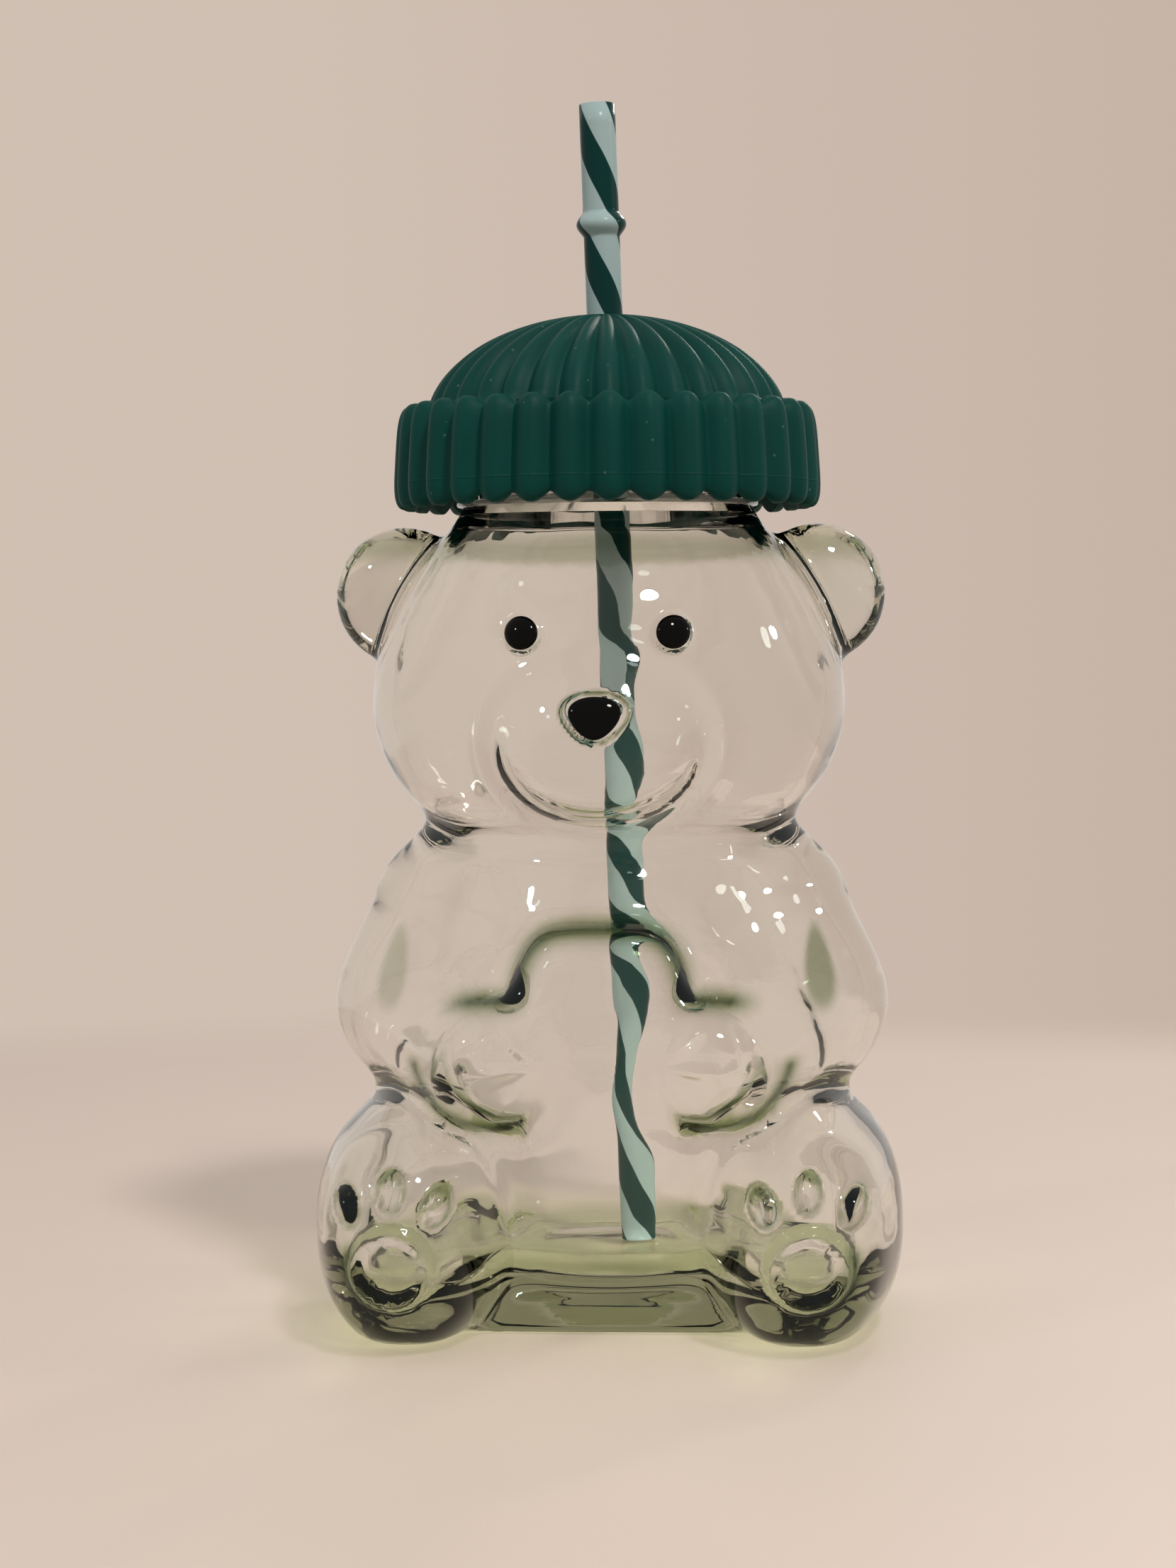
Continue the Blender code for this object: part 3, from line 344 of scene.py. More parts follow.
def inner_skin(points, more_blend=0):
    """Distance to the inside of the glass: the hollow lumps drawn in by their walls, blended softly."""
    thicker = bpy.context.scene.tumbler_glass.wall - BODY_WALL
    found = post(points, MOUTH_RADIUS)
    for shape, _, wall, sizes in LUMPS:
        if wall is not None:
            lump = shape(points, *sizes) + wall + thicker
            found = smooth_least(found, lump, HOLLOW_BLEND + more_blend)
    found = smooth_most(found, FLOOR_HEIGHT - points[..., 2], FLOOR_FILLET)
    return np.maximum(found, outer_skin(points) + LEAST_WALL)


def closeness(points):
    """How much closer together the grid's points lie: 1, and more round the feet, the nose and the eyes."""
    found = np.ones(points.shape[:-1])
    for across, height, reach, more in (
        (-FOOT_SIDE, 0.0200, 0.0150, 1.6),
        (FOOT_SIDE, 0.0200, 0.0150, 1.6),
        (0, 0.1070, 0.0110, 1.2),
        (-EYE_SIDE, EYE_HEIGHT, 0.0060, 1.0),
        (EYE_SIDE, EYE_HEIGHT, 0.0060, 1.0),
    ):
        away = np.hypot(points[..., 0] - across, points[..., 2] - height) / reach
        found += more * np.exp(-(away**4)) * (points[..., 1] < 0)
    return found[..., None]


def slope_of(field, points, more_blend=0):
    """Value and gradient of a field, the gradient from one small step along each axis."""
    here = field(points, more_blend)
    ahead = [field(points + step, more_blend) - here for step in np.eye(3) * SLOPE_STEP]
    return here, np.stack(ahead, axis=-1) / SLOPE_STEP


def outward(points):
    """The directions straight out of the glass at points on it: its gradient, made 1 long."""
    _, slope = slope_of(outer_skin, points)
    return slope / np.linalg.norm(slope, axis=-1, keepdims=True)


def dropped(points, field, more_blend=0, rounds=2):
    """The points moved along the field's gradient onto its surface, at most 2 mm a step."""
    for _ in range(rounds):
        here, slope = slope_of(field, points, more_blend)
        steep = np.maximum(np.linalg.norm(slope, axis=-1, keepdims=True), 0.3)
        step = np.clip(here[..., None] / steep, -LONGEST_DROP, LONGEST_DROP)
        points = points - step * slope / steep
    return points


def settled(points, field, blends):
    """The grid relaxed once for each blend.

    A point goes half way to the mean of its four neighbours, each weighted by how close together the points
    should lie there, and drops onto the surface.
    """
    for more_blend in blends:
        pull = closeness(points)
        right = pull + np.roll(pull, -1, axis=1)
        left = np.roll(right, 1, axis=1)
        beside = (np.roll(points, -1, axis=1) * right + np.roll(points, 1, axis=1) * left) / (right + left)
        up = pull[1:-1] + pull[2:]
        down = pull[1:-1] + pull[:-2]
        along = (points[2:] * up + points[:-2] * down) / (up + down)
        points = points.copy()
        points[1:-1] = (2 * points[1:-1] + along + beside[1:-1]) / 4
        points[1:-1] = dropped(points[1:-1], field, more_blend)
    return points


def finer(points):
    """Twice the columns and rows: a new point is 9/16 of each neighbour less 1/16 of each of the next two."""
    ahead, behind, far = (np.roll(points, by, axis=1) for by in (-1, 1, -2))
    wide = np.stack((points, (9 * (points + ahead) - behind - far) / 16), axis=2)
    wide = wide.reshape(len(points), -1, 3)
    padded = np.concatenate((2 * wide[:1] - wide[1:2], wide, 2 * wide[-1:] - wide[-2:-1]))
    between = (9 * (padded[1:-2] + padded[2:-1]) - padded[:-3] - padded[3:]) / 16
    rows = np.empty((2 * len(wide) - 1, wide.shape[1], 3))
    rows[::2], rows[1::2] = wide, between
    return rows


def even_angles(count):
    """Angles that divide a full turn evenly."""
    return 2 * math.pi * np.arange(count) / count


def column_angles(count):
    """Angles round the neck axis, 0 at the front, closer together there than at the back."""
    turn = even_angles(count)
    return turn - FRONT_DENSITY * np.sin(turn)


def ray_rows(step):
    """Start height, aim radius and aim height of each row of rays, from the middle of the base up."""
    base = np.arange(1, BASE_ROWS, step)
    rows = [np.stack((BARREL_BASE_RADIUS * base / BASE_ROWS, 0 * base), axis=-1)]
    wall = np.arange(0, WALL_ROWS, step)
    flare = np.minimum(1, wall / SHOULDER_ROWS)
    turn = 2 * math.pi * ROW_CROWDS * wall / WALL_ROWS
    crowd = CROWD_SHARE * np.sin(turn) / (2 * math.pi * ROW_CROWDS)
    reach = BARREL_BASE_RADIUS + (BARREL_RADIUS - BARREL_BASE_RADIUS) * flare
    rows.append(np.stack((reach, BARREL_TOP * (wall / WALL_ROWS - crowd)), axis=-1))
    share = np.arange(0, SHOULDER_ROWS + 1, step)[:, None] / SHOULDER_ROWS
    low, high = np.array((BARREL_RADIUS, BARREL_TOP)), np.array((NECK_WAIST_RADIUS, NECK_WAIST_HEIGHT))
    rows.append(low + (high - low) * share)
    rows = np.concatenate(rows)
    start = np.clip(rows[:, 1], SPINE_BOTTOM, NECK_WAIST_HEIGHT - NECK_WAIST_RADIUS)
    return np.column_stack((start, rows))


def skin(field, columns, step, levels):
    """A skin as rows from the base to the neck.

    Each point is the outermost crossing along a ray from the spine, on a form with fuller blends, found by
    marching in and then halving. The blends tighten to the true ones while the grid relaxes, and each
    further level makes it finer and relaxes it again.
    """
    rows = ray_rows(step)
    angles = column_angles(columns)
    start = np.zeros((len(rows), columns, 3))
    start[..., 2] = rows[:, 0, None]
    reach, rise = rows[:, 1, None], (rows[:, 2] - rows[:, 0])[:, None]
    aim = np.stack((reach * np.sin(angles), -reach * np.cos(angles), rise + 0 * angles), axis=-1)
    aim /= np.linalg.norm(aim, axis=-1, keepdims=True)
    outer = np.full(start.shape[:2], RAY_LENGTH)
    inner = np.zeros(start.shape[:2])
    found = np.zeros(start.shape[:2], bool)
    for travelled in np.linspace(RAY_LENGTH, 0, 90):
        inside = field(start + travelled * aim, CAST_BLEND) < 0
        inner = np.where(inside & ~found, travelled, inner)
        found |= inside
        outer = np.where(found, outer, travelled)
    for _ in range(20):
        middle = (outer + inner) / 2
        inside = field(start + middle[..., None] * aim, CAST_BLEND) < 0
        inner = np.where(inside, middle, inner)
        outer = np.where(inside, outer, middle)
    points = dropped(start + inner[..., None] * aim, field, CAST_BLEND, 3)
    blends = np.maximum(np.linspace(CAST_BLEND, -0.3 * CAST_BLEND, levels[0]), 0)
    points = settled(points, field, blends)
    for rounds in levels[1:]:
        points = settled(dropped(finer(points), field), field, np.zeros(rounds))
    return dropped(points, field, 0, 3)


def turned_rows(radius, height, angles):
    """Rows of points round the neck axis, from a radius for each row, or for each row and column."""
    radius, height = (part[:, None] if part.ndim == 1 else part for part in (radius, height))
    around = (radius * np.sin(angles), -radius * np.cos(angles), height + 0 * radius * angles)
    return np.stack(around, axis=-1)


def turned_line(line, angles):
    """Rows of points round the neck axis from a profile of radius and height."""
    radius, height = np.array(line).T
    return turned_rows(radius, height, angles)


def squared_off(wave, power):
    """The sine or cosine of a circle turned into that of a superellipse of a power."""
    return np.sign(wave) * np.abs(wave) ** (2 / power)


def bell(away, width):
    """1 on a line, falling off on both sides: e to the power of minus the square."""
    return np.exp(-((away / width) ** 2))


def soft_step(share):
    """0 below 0 and 1 above 1, with a smooth rise between: three squares less two cubes."""
    share = np.clip(share, 0, 1)
    return share * share * (3 - 2 * share)


def toe_reach(across, height, side, angle):
    """1 on the edge of a toe: an oval on a circle about the pad, leaning half as far as its own angle."""
    across = across - side * FOOT_SIDE - TOE_CIRCLE * math.sin(angle)
    height = height - PAD_HEIGHT - TOE_CIRCLE * math.cos(angle)
    lean = angle / 2
    wide = across * math.cos(lean) - height * math.sin(lean)
    tall = across * math.sin(lean) + height * math.cos(lean)
    return np.hypot(wide / 0.00215, tall / 0.0033)


def raised_marks(points):
    """How far the marks on the front lift the skin.

    A toe is a dome over an oval, a pad is a ring with a round section about a shallow dish, a finger groove
    is a power of a cosine of the angle about the panel's edge, and the bosses of the eyes and the nose are
    flat with a rounded edge.
    """
    settings = bpy.context.scene.tumbler_glass
    across, height = points[..., 0], points[..., 2]
    lift = np.zeros(across.shape)
    for side in (-1, 1):
        reach = np.hypot(across - side * FOOT_SIDE, height - PAD_HEIGHT) - settings.pad_radius
        ring = np.clip(1 - ((reach + 0.0010) / 0.0012) ** 2, 0, 1)
        dish = 0.30 * (1 - soft_step((reach + 0.0022) / 0.0012))
        lift += settings.pad_relief * np.maximum(ring**0.55, dish)
        for angle in TOE_ANGLES:
            oval = toe_reach(across, height, side, angle)
            lift += settings.toe_relief * np.clip(1 - oval**2, 0, 1) ** 0.5
        # Fingers: grooves that fan out from the edge of the panel and fade along the paw
        out, up = side * across - 0.0105, height - 0.0495
        run, fan = np.hypot(out, up), np.arctan2(up, out)
        groove = np.cos(3.2 * fan + 0.4) ** 8 * soft_step((1.1 - np.abs(fan)) / 0.3)
        lift -= 0.0007 * groove * soft_step((run - 0.001) / 0.003) * soft_step((0.0125 - run) / 0.007)
        eye = np.hypot(across - side * EYE_SIDE, height - EYE_HEIGHT)
        lift += EYE_LIFT * soft_step((0.0036 - eye) / 0.0007)
    lift += NOSE_LIFT * soft_step((1 - nose_reach(across, height)) / 0.16)
    return lift * (points[..., 1] < -0.01)


def painted_shade_and_tint(points):
    """Dark olive bands of painted shade, placed where such glass looks dark because light runs along inside
    its wall.

    They lie on the steep side of the arch and the ledge over the forearms, on arcs under the paws and round
    the pads, on a patch at each elbow, round the toes and the nose, and under the neck. In the base they go
    all round, for the olive of the thick glass together with painted shade. Each is a bell curve or a soft
    step, for the share of light lost. The value is minus the logarithm of what is left, over 1.3, and the
    finish raises its olive colour to that power. It is a look painted on the surface, not worked out from the
    light.
    """
    across, height = np.abs(points[..., 0]), points[..., 2]
    # Painted shade along the steep side of the arch, then on the ledge over the forearms
    bands = [bell(panel_edge(points) + 0.0014, 0.0019) * soft_step((height - 0.057) / 0.005)]
    ledge = bell(height - 0.0602 - 0.10 * (0.020 - across), 0.0017)
    bands.append(ledge * soft_step((across - 0.0145) / 0.001) * soft_step((0.029 - across) / 0.007))
    # Painted shade in an arc under each paw and one round each pad: middle, radius and width, and where its
    # ends fade
    for out, up, radius, width, start, end in (
        (0.0195, 0.052, 0.0132, 0.0016, (-0.7, 0.5), (1.5, 0.2)),
        (FOOT_SIDE, PAD_HEIGHT, 0.0078, 0.0014, (-0.3, 0.8), (2.3, 0.5)),
    ):
        angle = np.arctan2(across - out, up - height)
        arc = bell(np.hypot(across - out, height - up) - radius, width)
        bands.append(arc * soft_step((angle - start[0]) / start[1]) * soft_step((end[0] - angle) / end[1]))
    # Painted shade on a patch at each elbow, darker on the right
    rise = height - 0.0640
    patch = np.hypot((across - 0.0374 + 0.12 * rise) / (0.0026 - 0.14 * rise), rise / 0.0074)
    bands.append(np.where(points[..., 0] > 0, 0.72, 0.4) * soft_step((1.2 - patch) / 0.5))
    # Painted shade round each toe, then round the nose
    for angle in TOE_ANGLES:
        bands.append(0.7 * bell(toe_reach(across, height, 1, angle) - 0.95, 0.22))
    bands.append(0.9 * bell(nose_reach(across, height) - 1, 0.07))
    front = np.maximum.reduce(bands) * (points[..., 1] < -0.012)
    # Painted shade goes all round under the neck, and in the thick base, where it stands for the glass's
    # olive too
    neck = 0.4 * bell(height - 0.1378, 0.0024)
    base = 0.38 * soft_step((0.013 - height) / 0.005)
    return -np.log(1 - 0.98 * np.maximum.reduce((front, neck, base))) / 1.3


def nose_taper(share):
    """Width of the nose from -1 at its foot to 1 at its top, as a share: it grows in a straight line."""
    return (1 + 0.30 * share) / 1.15


def nose_reach(across, height):
    """1 on the edge of a rounded triangle that is wide at the top, and in proportion inside it."""
    up = (height - NOSE_HEIGHT) / NOSE_HALF[1]
    return np.hypot(across / (NOSE_HALF[0] * nose_taper(up)), up)


def neck_rows(angles):
    """The neck from the waist up and over the rim: a bead, a single thread and a round lip.

    The thread's radius is a raised cosine about a line that climbs one pitch in a turn, faded at both ends.
    """
    waist, lip_rise, thread_size = NECK_WAIST_HEIGHT, 0.0014, 0.0011
    bead = np.linspace(-1, 1, 9)
    bead_middle, bead_out = waist + 0.0031, 0.0022
    heights = [np.array((waist, waist + 0.0008)), bead_middle + 0.0016 * bead]
    radii = [np.full(2, NECK_WAIST_RADIUS), FINISH_RADIUS + bead_out * (1 - bead**4) ** 0.5]
    rise = np.linspace(bead_middle + bead_out, RIM_HEIGHT - lip_rise, 26)
    lip = np.linspace(0, math.pi, 9)
    middle, half = (FINISH_RADIUS + MOUTH_RADIUS) / 2, (FINISH_RADIUS - MOUTH_RADIUS) / 2
    fall = np.linspace(RIM_HEIGHT - 0.0030, waist, 5)
    heights += [rise, RIM_HEIGHT - lip_rise + lip_rise * np.sin(lip), fall]
    radii += [0 * rise + FINISH_RADIUS, middle + half * np.cos(lip), 0 * fall + MOUTH_RADIUS]
    radius, height = np.concatenate(radii)[:, None], np.concatenate(heights)[:, None]
    pitch = bpy.context.scene.tumbler_glass.thread_pitch
    turn = np.mod(angles - math.pi, 2 * math.pi) / (2 * math.pi)
    line = RIM_HEIGHT - 0.0085 + pitch * turn
    ends = soft_step(turn / 0.04) * soft_step((1 - turn) / 0.09)
    away = np.clip(np.abs(height - line) / thread_size, 0, 1)
    on_wall = (height > rise[0] - SLOPE_STEP) & (height < rise[-1]) & (radius >= FINISH_RADIUS)
    thread = thread_size * ends * (0.5 + 0.5 * np.cos(math.pi * away)) * on_wall
    return turned_rows(radius + thread, height, angles)


def grid_faces(rows, columns, wrap):
    """Corner numbers of the four-sided faces of a grid whose columns close round."""
    at = np.arange(rows * columns).reshape(rows, columns)
    if wrap:
        at = np.vstack((at, at[:1]))
    beside = np.roll(at, -1, axis=1)
    return np.stack((at[:-1], beside[:-1], beside[1:], at[1:]), axis=-1).reshape(-1, 4)


def make_piece(name, body, finish, rows, tips=(), sharp=None, uv=None, shade_and_tint=None):
    """An object from a grid of points whose columns close round, with its own UV map or its attribute of
    painted shade.

    With no tips the rows close too, as on a ring. Two tips are the points that close the first and the
    last row. The faces are turned to point out, by the sign of the volume that they enclose.
    """
    count, columns = rows.shape[:2]
    faces = grid_faces(count, columns, wrap=not tips).tolist()
    points = rows.reshape(-1, 3) + NECK_AXIS
    if tips:
        points = np.vstack((points, np.array(tips) + NECK_AXIS))
        first = np.arange(columns)
        last = first + (count - 1) * columns
        low = np.column_stack((np.roll(first, -1), first, 0 * first + count * columns))
        high = np.column_stack((last, np.roll(last, -1), 0 * last + count * columns + 1))
        faces += low.tolist() + high.tolist()
    ring = points[: count * columns].reshape(count, columns, 3)
    wide = np.concatenate((ring, ring[:1])) if not tips else ring
    one = np.roll(wide, -1, axis=1)[:-1] - wide[:-1]
    two = wide[1:] - wide[:-1]
    middle = ring.mean(axis=(0, 1))
    if ((wide[:-1] - middle) * np.cross(one, two)).sum() < 0:
        faces = [face[::-1] for face in faces]
    mesh = bpy.data.meshes.new(name)
    mesh.from_pydata(points.tolist(), [], faces)
    mesh.shade_smooth()
    if sharp is not None:
        mesh.set_sharp_from_angle(angle=math.radians(sharp))
    if uv is not None:
        layer = mesh.uv_layers.new(name="around")
        corners = np.empty(len(mesh.loops), np.int32)
        mesh.loops.foreach_get("vertex_index", corners)
        places = uv.reshape(-1, 2)[corners]
        # Faces over the seam go on past 1, so the pattern closes round the tube
        around = places[:, 0].reshape(-1, 4)
        around += (np.ptp(around, axis=1, keepdims=True) > 0.5) & (around < 0.5)
        layer.data.foreach_set("uv", places.ravel())
    if shade_and_tint is not None:
        held = np.zeros(len(points))
        held[: count * columns] = shade_and_tint.ravel()
        mesh.attributes.new("shade_and_tint", "FLOAT", "POINT").data.foreach_set("value", held)
    mesh.materials.append(finish)
    made = bpy.data.objects.new(name, mesh)
    bpy.context.scene.collection.objects.link(made)
    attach(made, body)
    return made


def add_node(tree, kind, links=None, **settings):
    """Adds one node with its settings; links gives each input its value or the socket that feeds it."""
    made = tree.nodes.new(kind)
    for name, value in settings.items():
        setattr(made, name, value)
    for socket, source in (links or {}).items():
        if isinstance(source, bpy.types.NodeSocket):
            tree.links.new(source, made.inputs[socket])
        else:
            made.inputs[socket].default_value = source
    return made


def new_finish(name, colour):
    """A material with no nodes, and the tree to fill."""
    made = bpy.data.materials.new(name)
    made.use_nodes = True
    made.diffuse_color = (*colour, 1)
    tree = made.node_tree
    tree.nodes.clear()
    return made, tree


def own_place(tree):
    """The place on the piece itself, in metres."""
    return add_node(tree, "ShaderNodeTexCoord").outputs["Object"]


def noise(tree, place, scale, detail):
    """A cloudy noise whose patches are about one over the scale apart."""
    links = {"Vector": place, "Scale": scale, "Detail": detail}
    return add_node(tree, "ShaderNodeTexNoise", links).outputs["Fac"]


def bumped(tree, height, strength, distance, normal=None):
    """A bump of that height in metres, over another one where its normal is given."""
    links = {"Height": height, "Strength": strength, "Distance": distance}
    if normal is not None:
        links["Normal"] = normal
    return add_node(tree, "ShaderNodeBump", links).outputs["Normal"]


def ranged(tree, value, old, new=(0.0, 1.0), kind="LINEAR"):
    """A value brought from its old range to a new one."""
    links = {"Value": value, "From Min": old[0], "From Max": old[1], "To Min": new[0], "To Max": new[1]}
    return add_node(tree, "ShaderNodeMapRange", links, interpolation_type=kind).outputs[0]


def blended(tree, share, first, second):
    """Two colours mixed, the second one a plain colour."""
    first = first if isinstance(first, bpy.types.NodeSocket) else (*first, 1)
    links = {0: share, 6: first, 7: (*second, 1)}
    return add_node(tree, "ShaderNodeMix", links, data_type="RGBA").outputs[2]


def worked_out(tree, operation, first, second=None):
    """One step of arithmetic on one or two values."""
    links = {0: first} if second is None else {0: first, 1: second}
    return add_node(tree, "ShaderNodeMath", links, operation=operation).outputs[0]


def shaded(tree, links):
    """Closes a tree with a Principled surface and its output."""
    shader = add_node(tree, "ShaderNodeBsdfPrincipled", links)
    add_node(tree, "ShaderNodeOutputMaterial", {"Surface": shader.outputs[0]})


def darker(colour, share):
    """A colour with each channel at a share of its strength."""
    return tuple(share * channel for channel in colour)


def pressed_soda_lime_glass():
    """Moulded soda-lime glass with a slight green-grey cast and the faint waves that a mould leaves."""
    # The eye sees it clear in the thin walls, olive in the thick ones, and darker on the bands of painted
    # shade
    settings = bpy.context.scene.tumbler_glass
    made, tree = new_finish("soda_lime_glass", (0.8, 0.84, 0.8))
    place = own_place(tree)
    # Waves about 14 mm apart, a few hundredths of a millimetre high
    waved = bumped(tree, noise(tree, place, 70.0, 1.5), 0.35, 0.0003)
    # Cooling ripples that lie level, about 4 mm apart
    level = add_node(tree, "ShaderNodeMapping", {"Vector": place, "Scale": (1.0, 1.0, 4.0)})
    rippled = bumped(tree, noise(tree, level.outputs["Vector"], 60.0, 0.0), 0.6, 0.0003, waved)
    # The bands of painted shade, and the base's olive: the olive colour to the power that the attribute gives
    bands = add_node(tree, "ShaderNodeAttribute", attribute_name="shade_and_tint")
    shade_and_tint_colour = add_node(
        tree, "ShaderNodeGamma", {"Color": (*linear("#7a8a69"), 1), "Gamma": bands.outputs["Fac"]}
    )
    # The specular tint takes the mirroring down to about half of real glass, so the straw shows inside
    glass = add_node(
        tree,
        "ShaderNodeBsdfPrincipled",
        {
            "Base Color": shade_and_tint_colour.outputs["Color"],
            "Specular Tint": (0.46, 0.58, 0.58, 1),
            "Roughness": 0.012,
            "IOR": settings.ior,
            "Transmission Weight": 1.0,
            "Normal": rippled,
        },
    )
    # Lamps shine through, as they do through real glass, and lose a little on the way
    clear = add_node(tree, "ShaderNodeBsdfTransparent", {"Color": (*linear("#e6e9e0"), 1)})
    shadow = add_node(tree, "ShaderNodeLightPath").outputs["Is Shadow Ray"]
    mixed = add_node(tree, "ShaderNodeMixShader", {0: shadow, 1: glass.outputs[0], 2: clear.outputs[0]})
    depth = add_node(
        tree, "ShaderNodeVolumeAbsorption", {"Color": (*settings.tint, 1), "Density": settings.tint_depth}
    )
    add_node(tree, "ShaderNodeOutputMaterial", {"Surface": mixed.outputs[0], "Volume": depth.outputs[0]})
    return made


def black_glass_enamel():
    """Fired black enamel, dabbed on and glossy."""
    # The eye sees a black drop with a sharp highlight and a slightly uneven skin
    settings = bpy.context.scene.tumbler_glass
    made, tree = new_finish("black_glass_enamel", settings.enamel)
    # Dabs about 2 mm apart
    dabs = noise(tree, own_place(tree), 500.0, 2.0)
    shaded(
        tree,
        {
            "Base Color": (*settings.enamel, 1),
            "Roughness": ranged(tree, dabs, (0.3, 0.7), (0.02, 0.05)),
            "IOR": 1.52,
            "Specular IOR Level": 0.08,
            "Normal": bumped(tree, dabs, 0.25, 0.0001),
        },
    )
    return made


def moulded_green_silicone():
    """Dark green silicone rubber from a satin mould."""
    # The eye sees a soft sheen along each rib, a finely pebbled skin and a few specks of dust
    settings = bpy.context.scene.tumbler_cover
    made, tree = new_finish("green_silicone", settings.colour)
    place = own_place(tree)
    cloud = noise(tree, place, 60.0, 3.0)
    # Dust specks up to 0.5 mm wide, in cells about 4 mm apart
    specks = add_node(
        tree, "ShaderNodeTexVoronoi", {"Vector": place, "Scale": 260.0, "Randomness": 1.0}, feature="F1"
    )
    speck = ranged(tree, specks.outputs["Distance"], (0.04, 0.08), (0.2, 0.0))
    mottled = blended(
        tree, ranged(tree, cloud, (0.3, 0.7)), darker(settings.colour, 0.78), settings.colour
    )
    # Mould grain about 0.5 mm apart, drawn coarse enough to show
    grained = bumped(tree, noise(tree, place, 2000.0, 3.0), 0.4, 0.00006)
    # The mould's parting line, 0.5 mm wide, low on the cuff
    split = add_node(tree, "ShaderNodeSeparateXYZ", {0: place})
    away = worked_out(tree, "SUBTRACT", split.outputs[2], CUFF_BOTTOM + SEAM_RISE)
    line = ranged(tree, worked_out(tree, "ABSOLUTE", away), (0.0, 0.00025), (1.0, 0.0))
    shaded(
        tree,
        {
            "Base Color": blended(tree, speck, mottled, linear("#8fa39e")),
            "Roughness": ranged(tree, cloud, (0.3, 0.7), (0.46, 0.56)),
            "IOR": 1.43,
            "Specular IOR Level": 0.14,
            "Normal": bumped(tree, line, 0.6, 0.0001, grained),
        },
    )
    return made


def pale_plastic(name, colour, roughness, ior):
    """A pale moulded piece: even colour with a slight cloud in it and a fine grain."""
    # The eye sees a milky body with a dull shine
    made, tree = new_finish(name, colour)
    place = own_place(tree)
    # Flow marks about 12 mm apart, grain about 0.8 mm
    cloud = noise(tree, place, 80.0, 2.0)
    shaded(
        tree,
        {
            "Base Color": blended(tree, cloud, darker(colour, 0.88), colour),
            "Roughness": roughness,
            "IOR": ior,
            "Normal": bumped(tree, noise(tree, place, 1200.0, 2.0), 0.3, 0.00005),
        },
    )
    return made


def striped_polypropylene():
    """Extruded polypropylene with two dark and two milky stripes that wind round the tube."""
    # The eye sees a smooth shiny tube with soft-edged stripes; U goes once round, V is the depth in metres
    settings = bpy.context.scene.tumbler_straw
    made, tree = new_finish("striped_polypropylene", settings.dark)
    around = add_node(tree, "ShaderNodeUVMap", uv_map="around").outputs[0]
    split = add_node(tree, "ShaderNodeSeparateXYZ", {0: around})
    turns = worked_out(tree, "MULTIPLY", split.outputs[0], 2.0)
    along = worked_out(tree, "MULTIPLY", split.outputs[1], -2 / settings.lead)
    both = worked_out(tree, "ADD", turns, along)
    # The edge of a stripe wanders by a few tenths of a millimetre
    drift = noise(tree, own_place(tree), 120.0, 1.0)
    wander = worked_out(tree, "ADD", both, worked_out(tree, "MULTIPLY", drift, 0.06))
    phase = add_node(tree, "ShaderNodeMath", {0: wander, 1: 1.0, 2: 0.0}, operation="WRAP")
    away = worked_out(tree, "ABSOLUTE", worked_out(tree, "SUBTRACT", phase.outputs[0], 0.5))
    # Dark where the phase is within 0.2375 of the half, with an edge 0.2 mm soft
    light = ranged(tree, away, (0.228, 0.247), kind="SMOOTHSTEP")
    shaded(
        tree,
        {
            "Base Color": blended(tree, light, settings.dark, settings.light),
            "Roughness": 0.22,
            "IOR": 1.49,
            "Specular IOR Level": 0.12,
            "Normal": bumped(tree, drift, 0.15, 0.0002),
        },
    )
    return made


def cover_lines():
    """The outside of the cover at the crest of a rib and at the groove between two ribs.

    The cuff is half of a superellipse of power 4, a little wider at its foot; the dome is an ellipse, drawn
    in by the rib's depth, which fades towards the straw hole.
    """
    settings = bpy.context.scene.tumbler_cover
    cuff_half, cuff_top = CUFF_HEIGHT / 2, CUFF_BOTTOM + CUFF_HEIGHT
    cuff_out, foot_flare = 0.0035, 0.0006
    lines = []
    for depth, notch, drop, dome_depth in (
        (0, 0, 0.00065, 0),
        (settings.rib_depth, 0.0018, 0.0036, 0.0017),
    ):
        angle = np.linspace(-math.pi / 2, math.pi / 2, 33)
        out, rise = squared_off(np.cos(angle), 4), squared_off(np.sin(angle), 4)
        radius = [CUFF_INNER_RADIUS + (cuff_out - depth) * out - foot_flare * rise]
        height = [CUFF_BOTTOM + cuff_half + (cuff_half - notch) * rise]
        # One point in the fold between cuff and dome
        fold = (CUFF_INNER_RADIUS + DOME_RADIUS) / 2 - foot_flare
        radius.append(np.array((fold - depth / 2,)))
        height.append(np.array((cuff_top - drop,)))
        start = math.asin((cuff_top - DOME_FOOT) / DOME_RISE)
        angle = np.linspace(start, math.acos(STRAW_HOLE / DOME_RADIUS), 30)
        dome = DOME_RADIUS * np.cos(angle)
        sunk = dome_depth * np.clip((dome - STRAW_HOLE) / 0.020, 0, 1)
        radius.append(dome - sunk * np.cos(angle))
        height.append(DOME_FOOT + (DOME_RISE - sunk) * np.sin(angle))
        lines.append((np.concatenate(radius), np.concatenate(height)))
    return lines


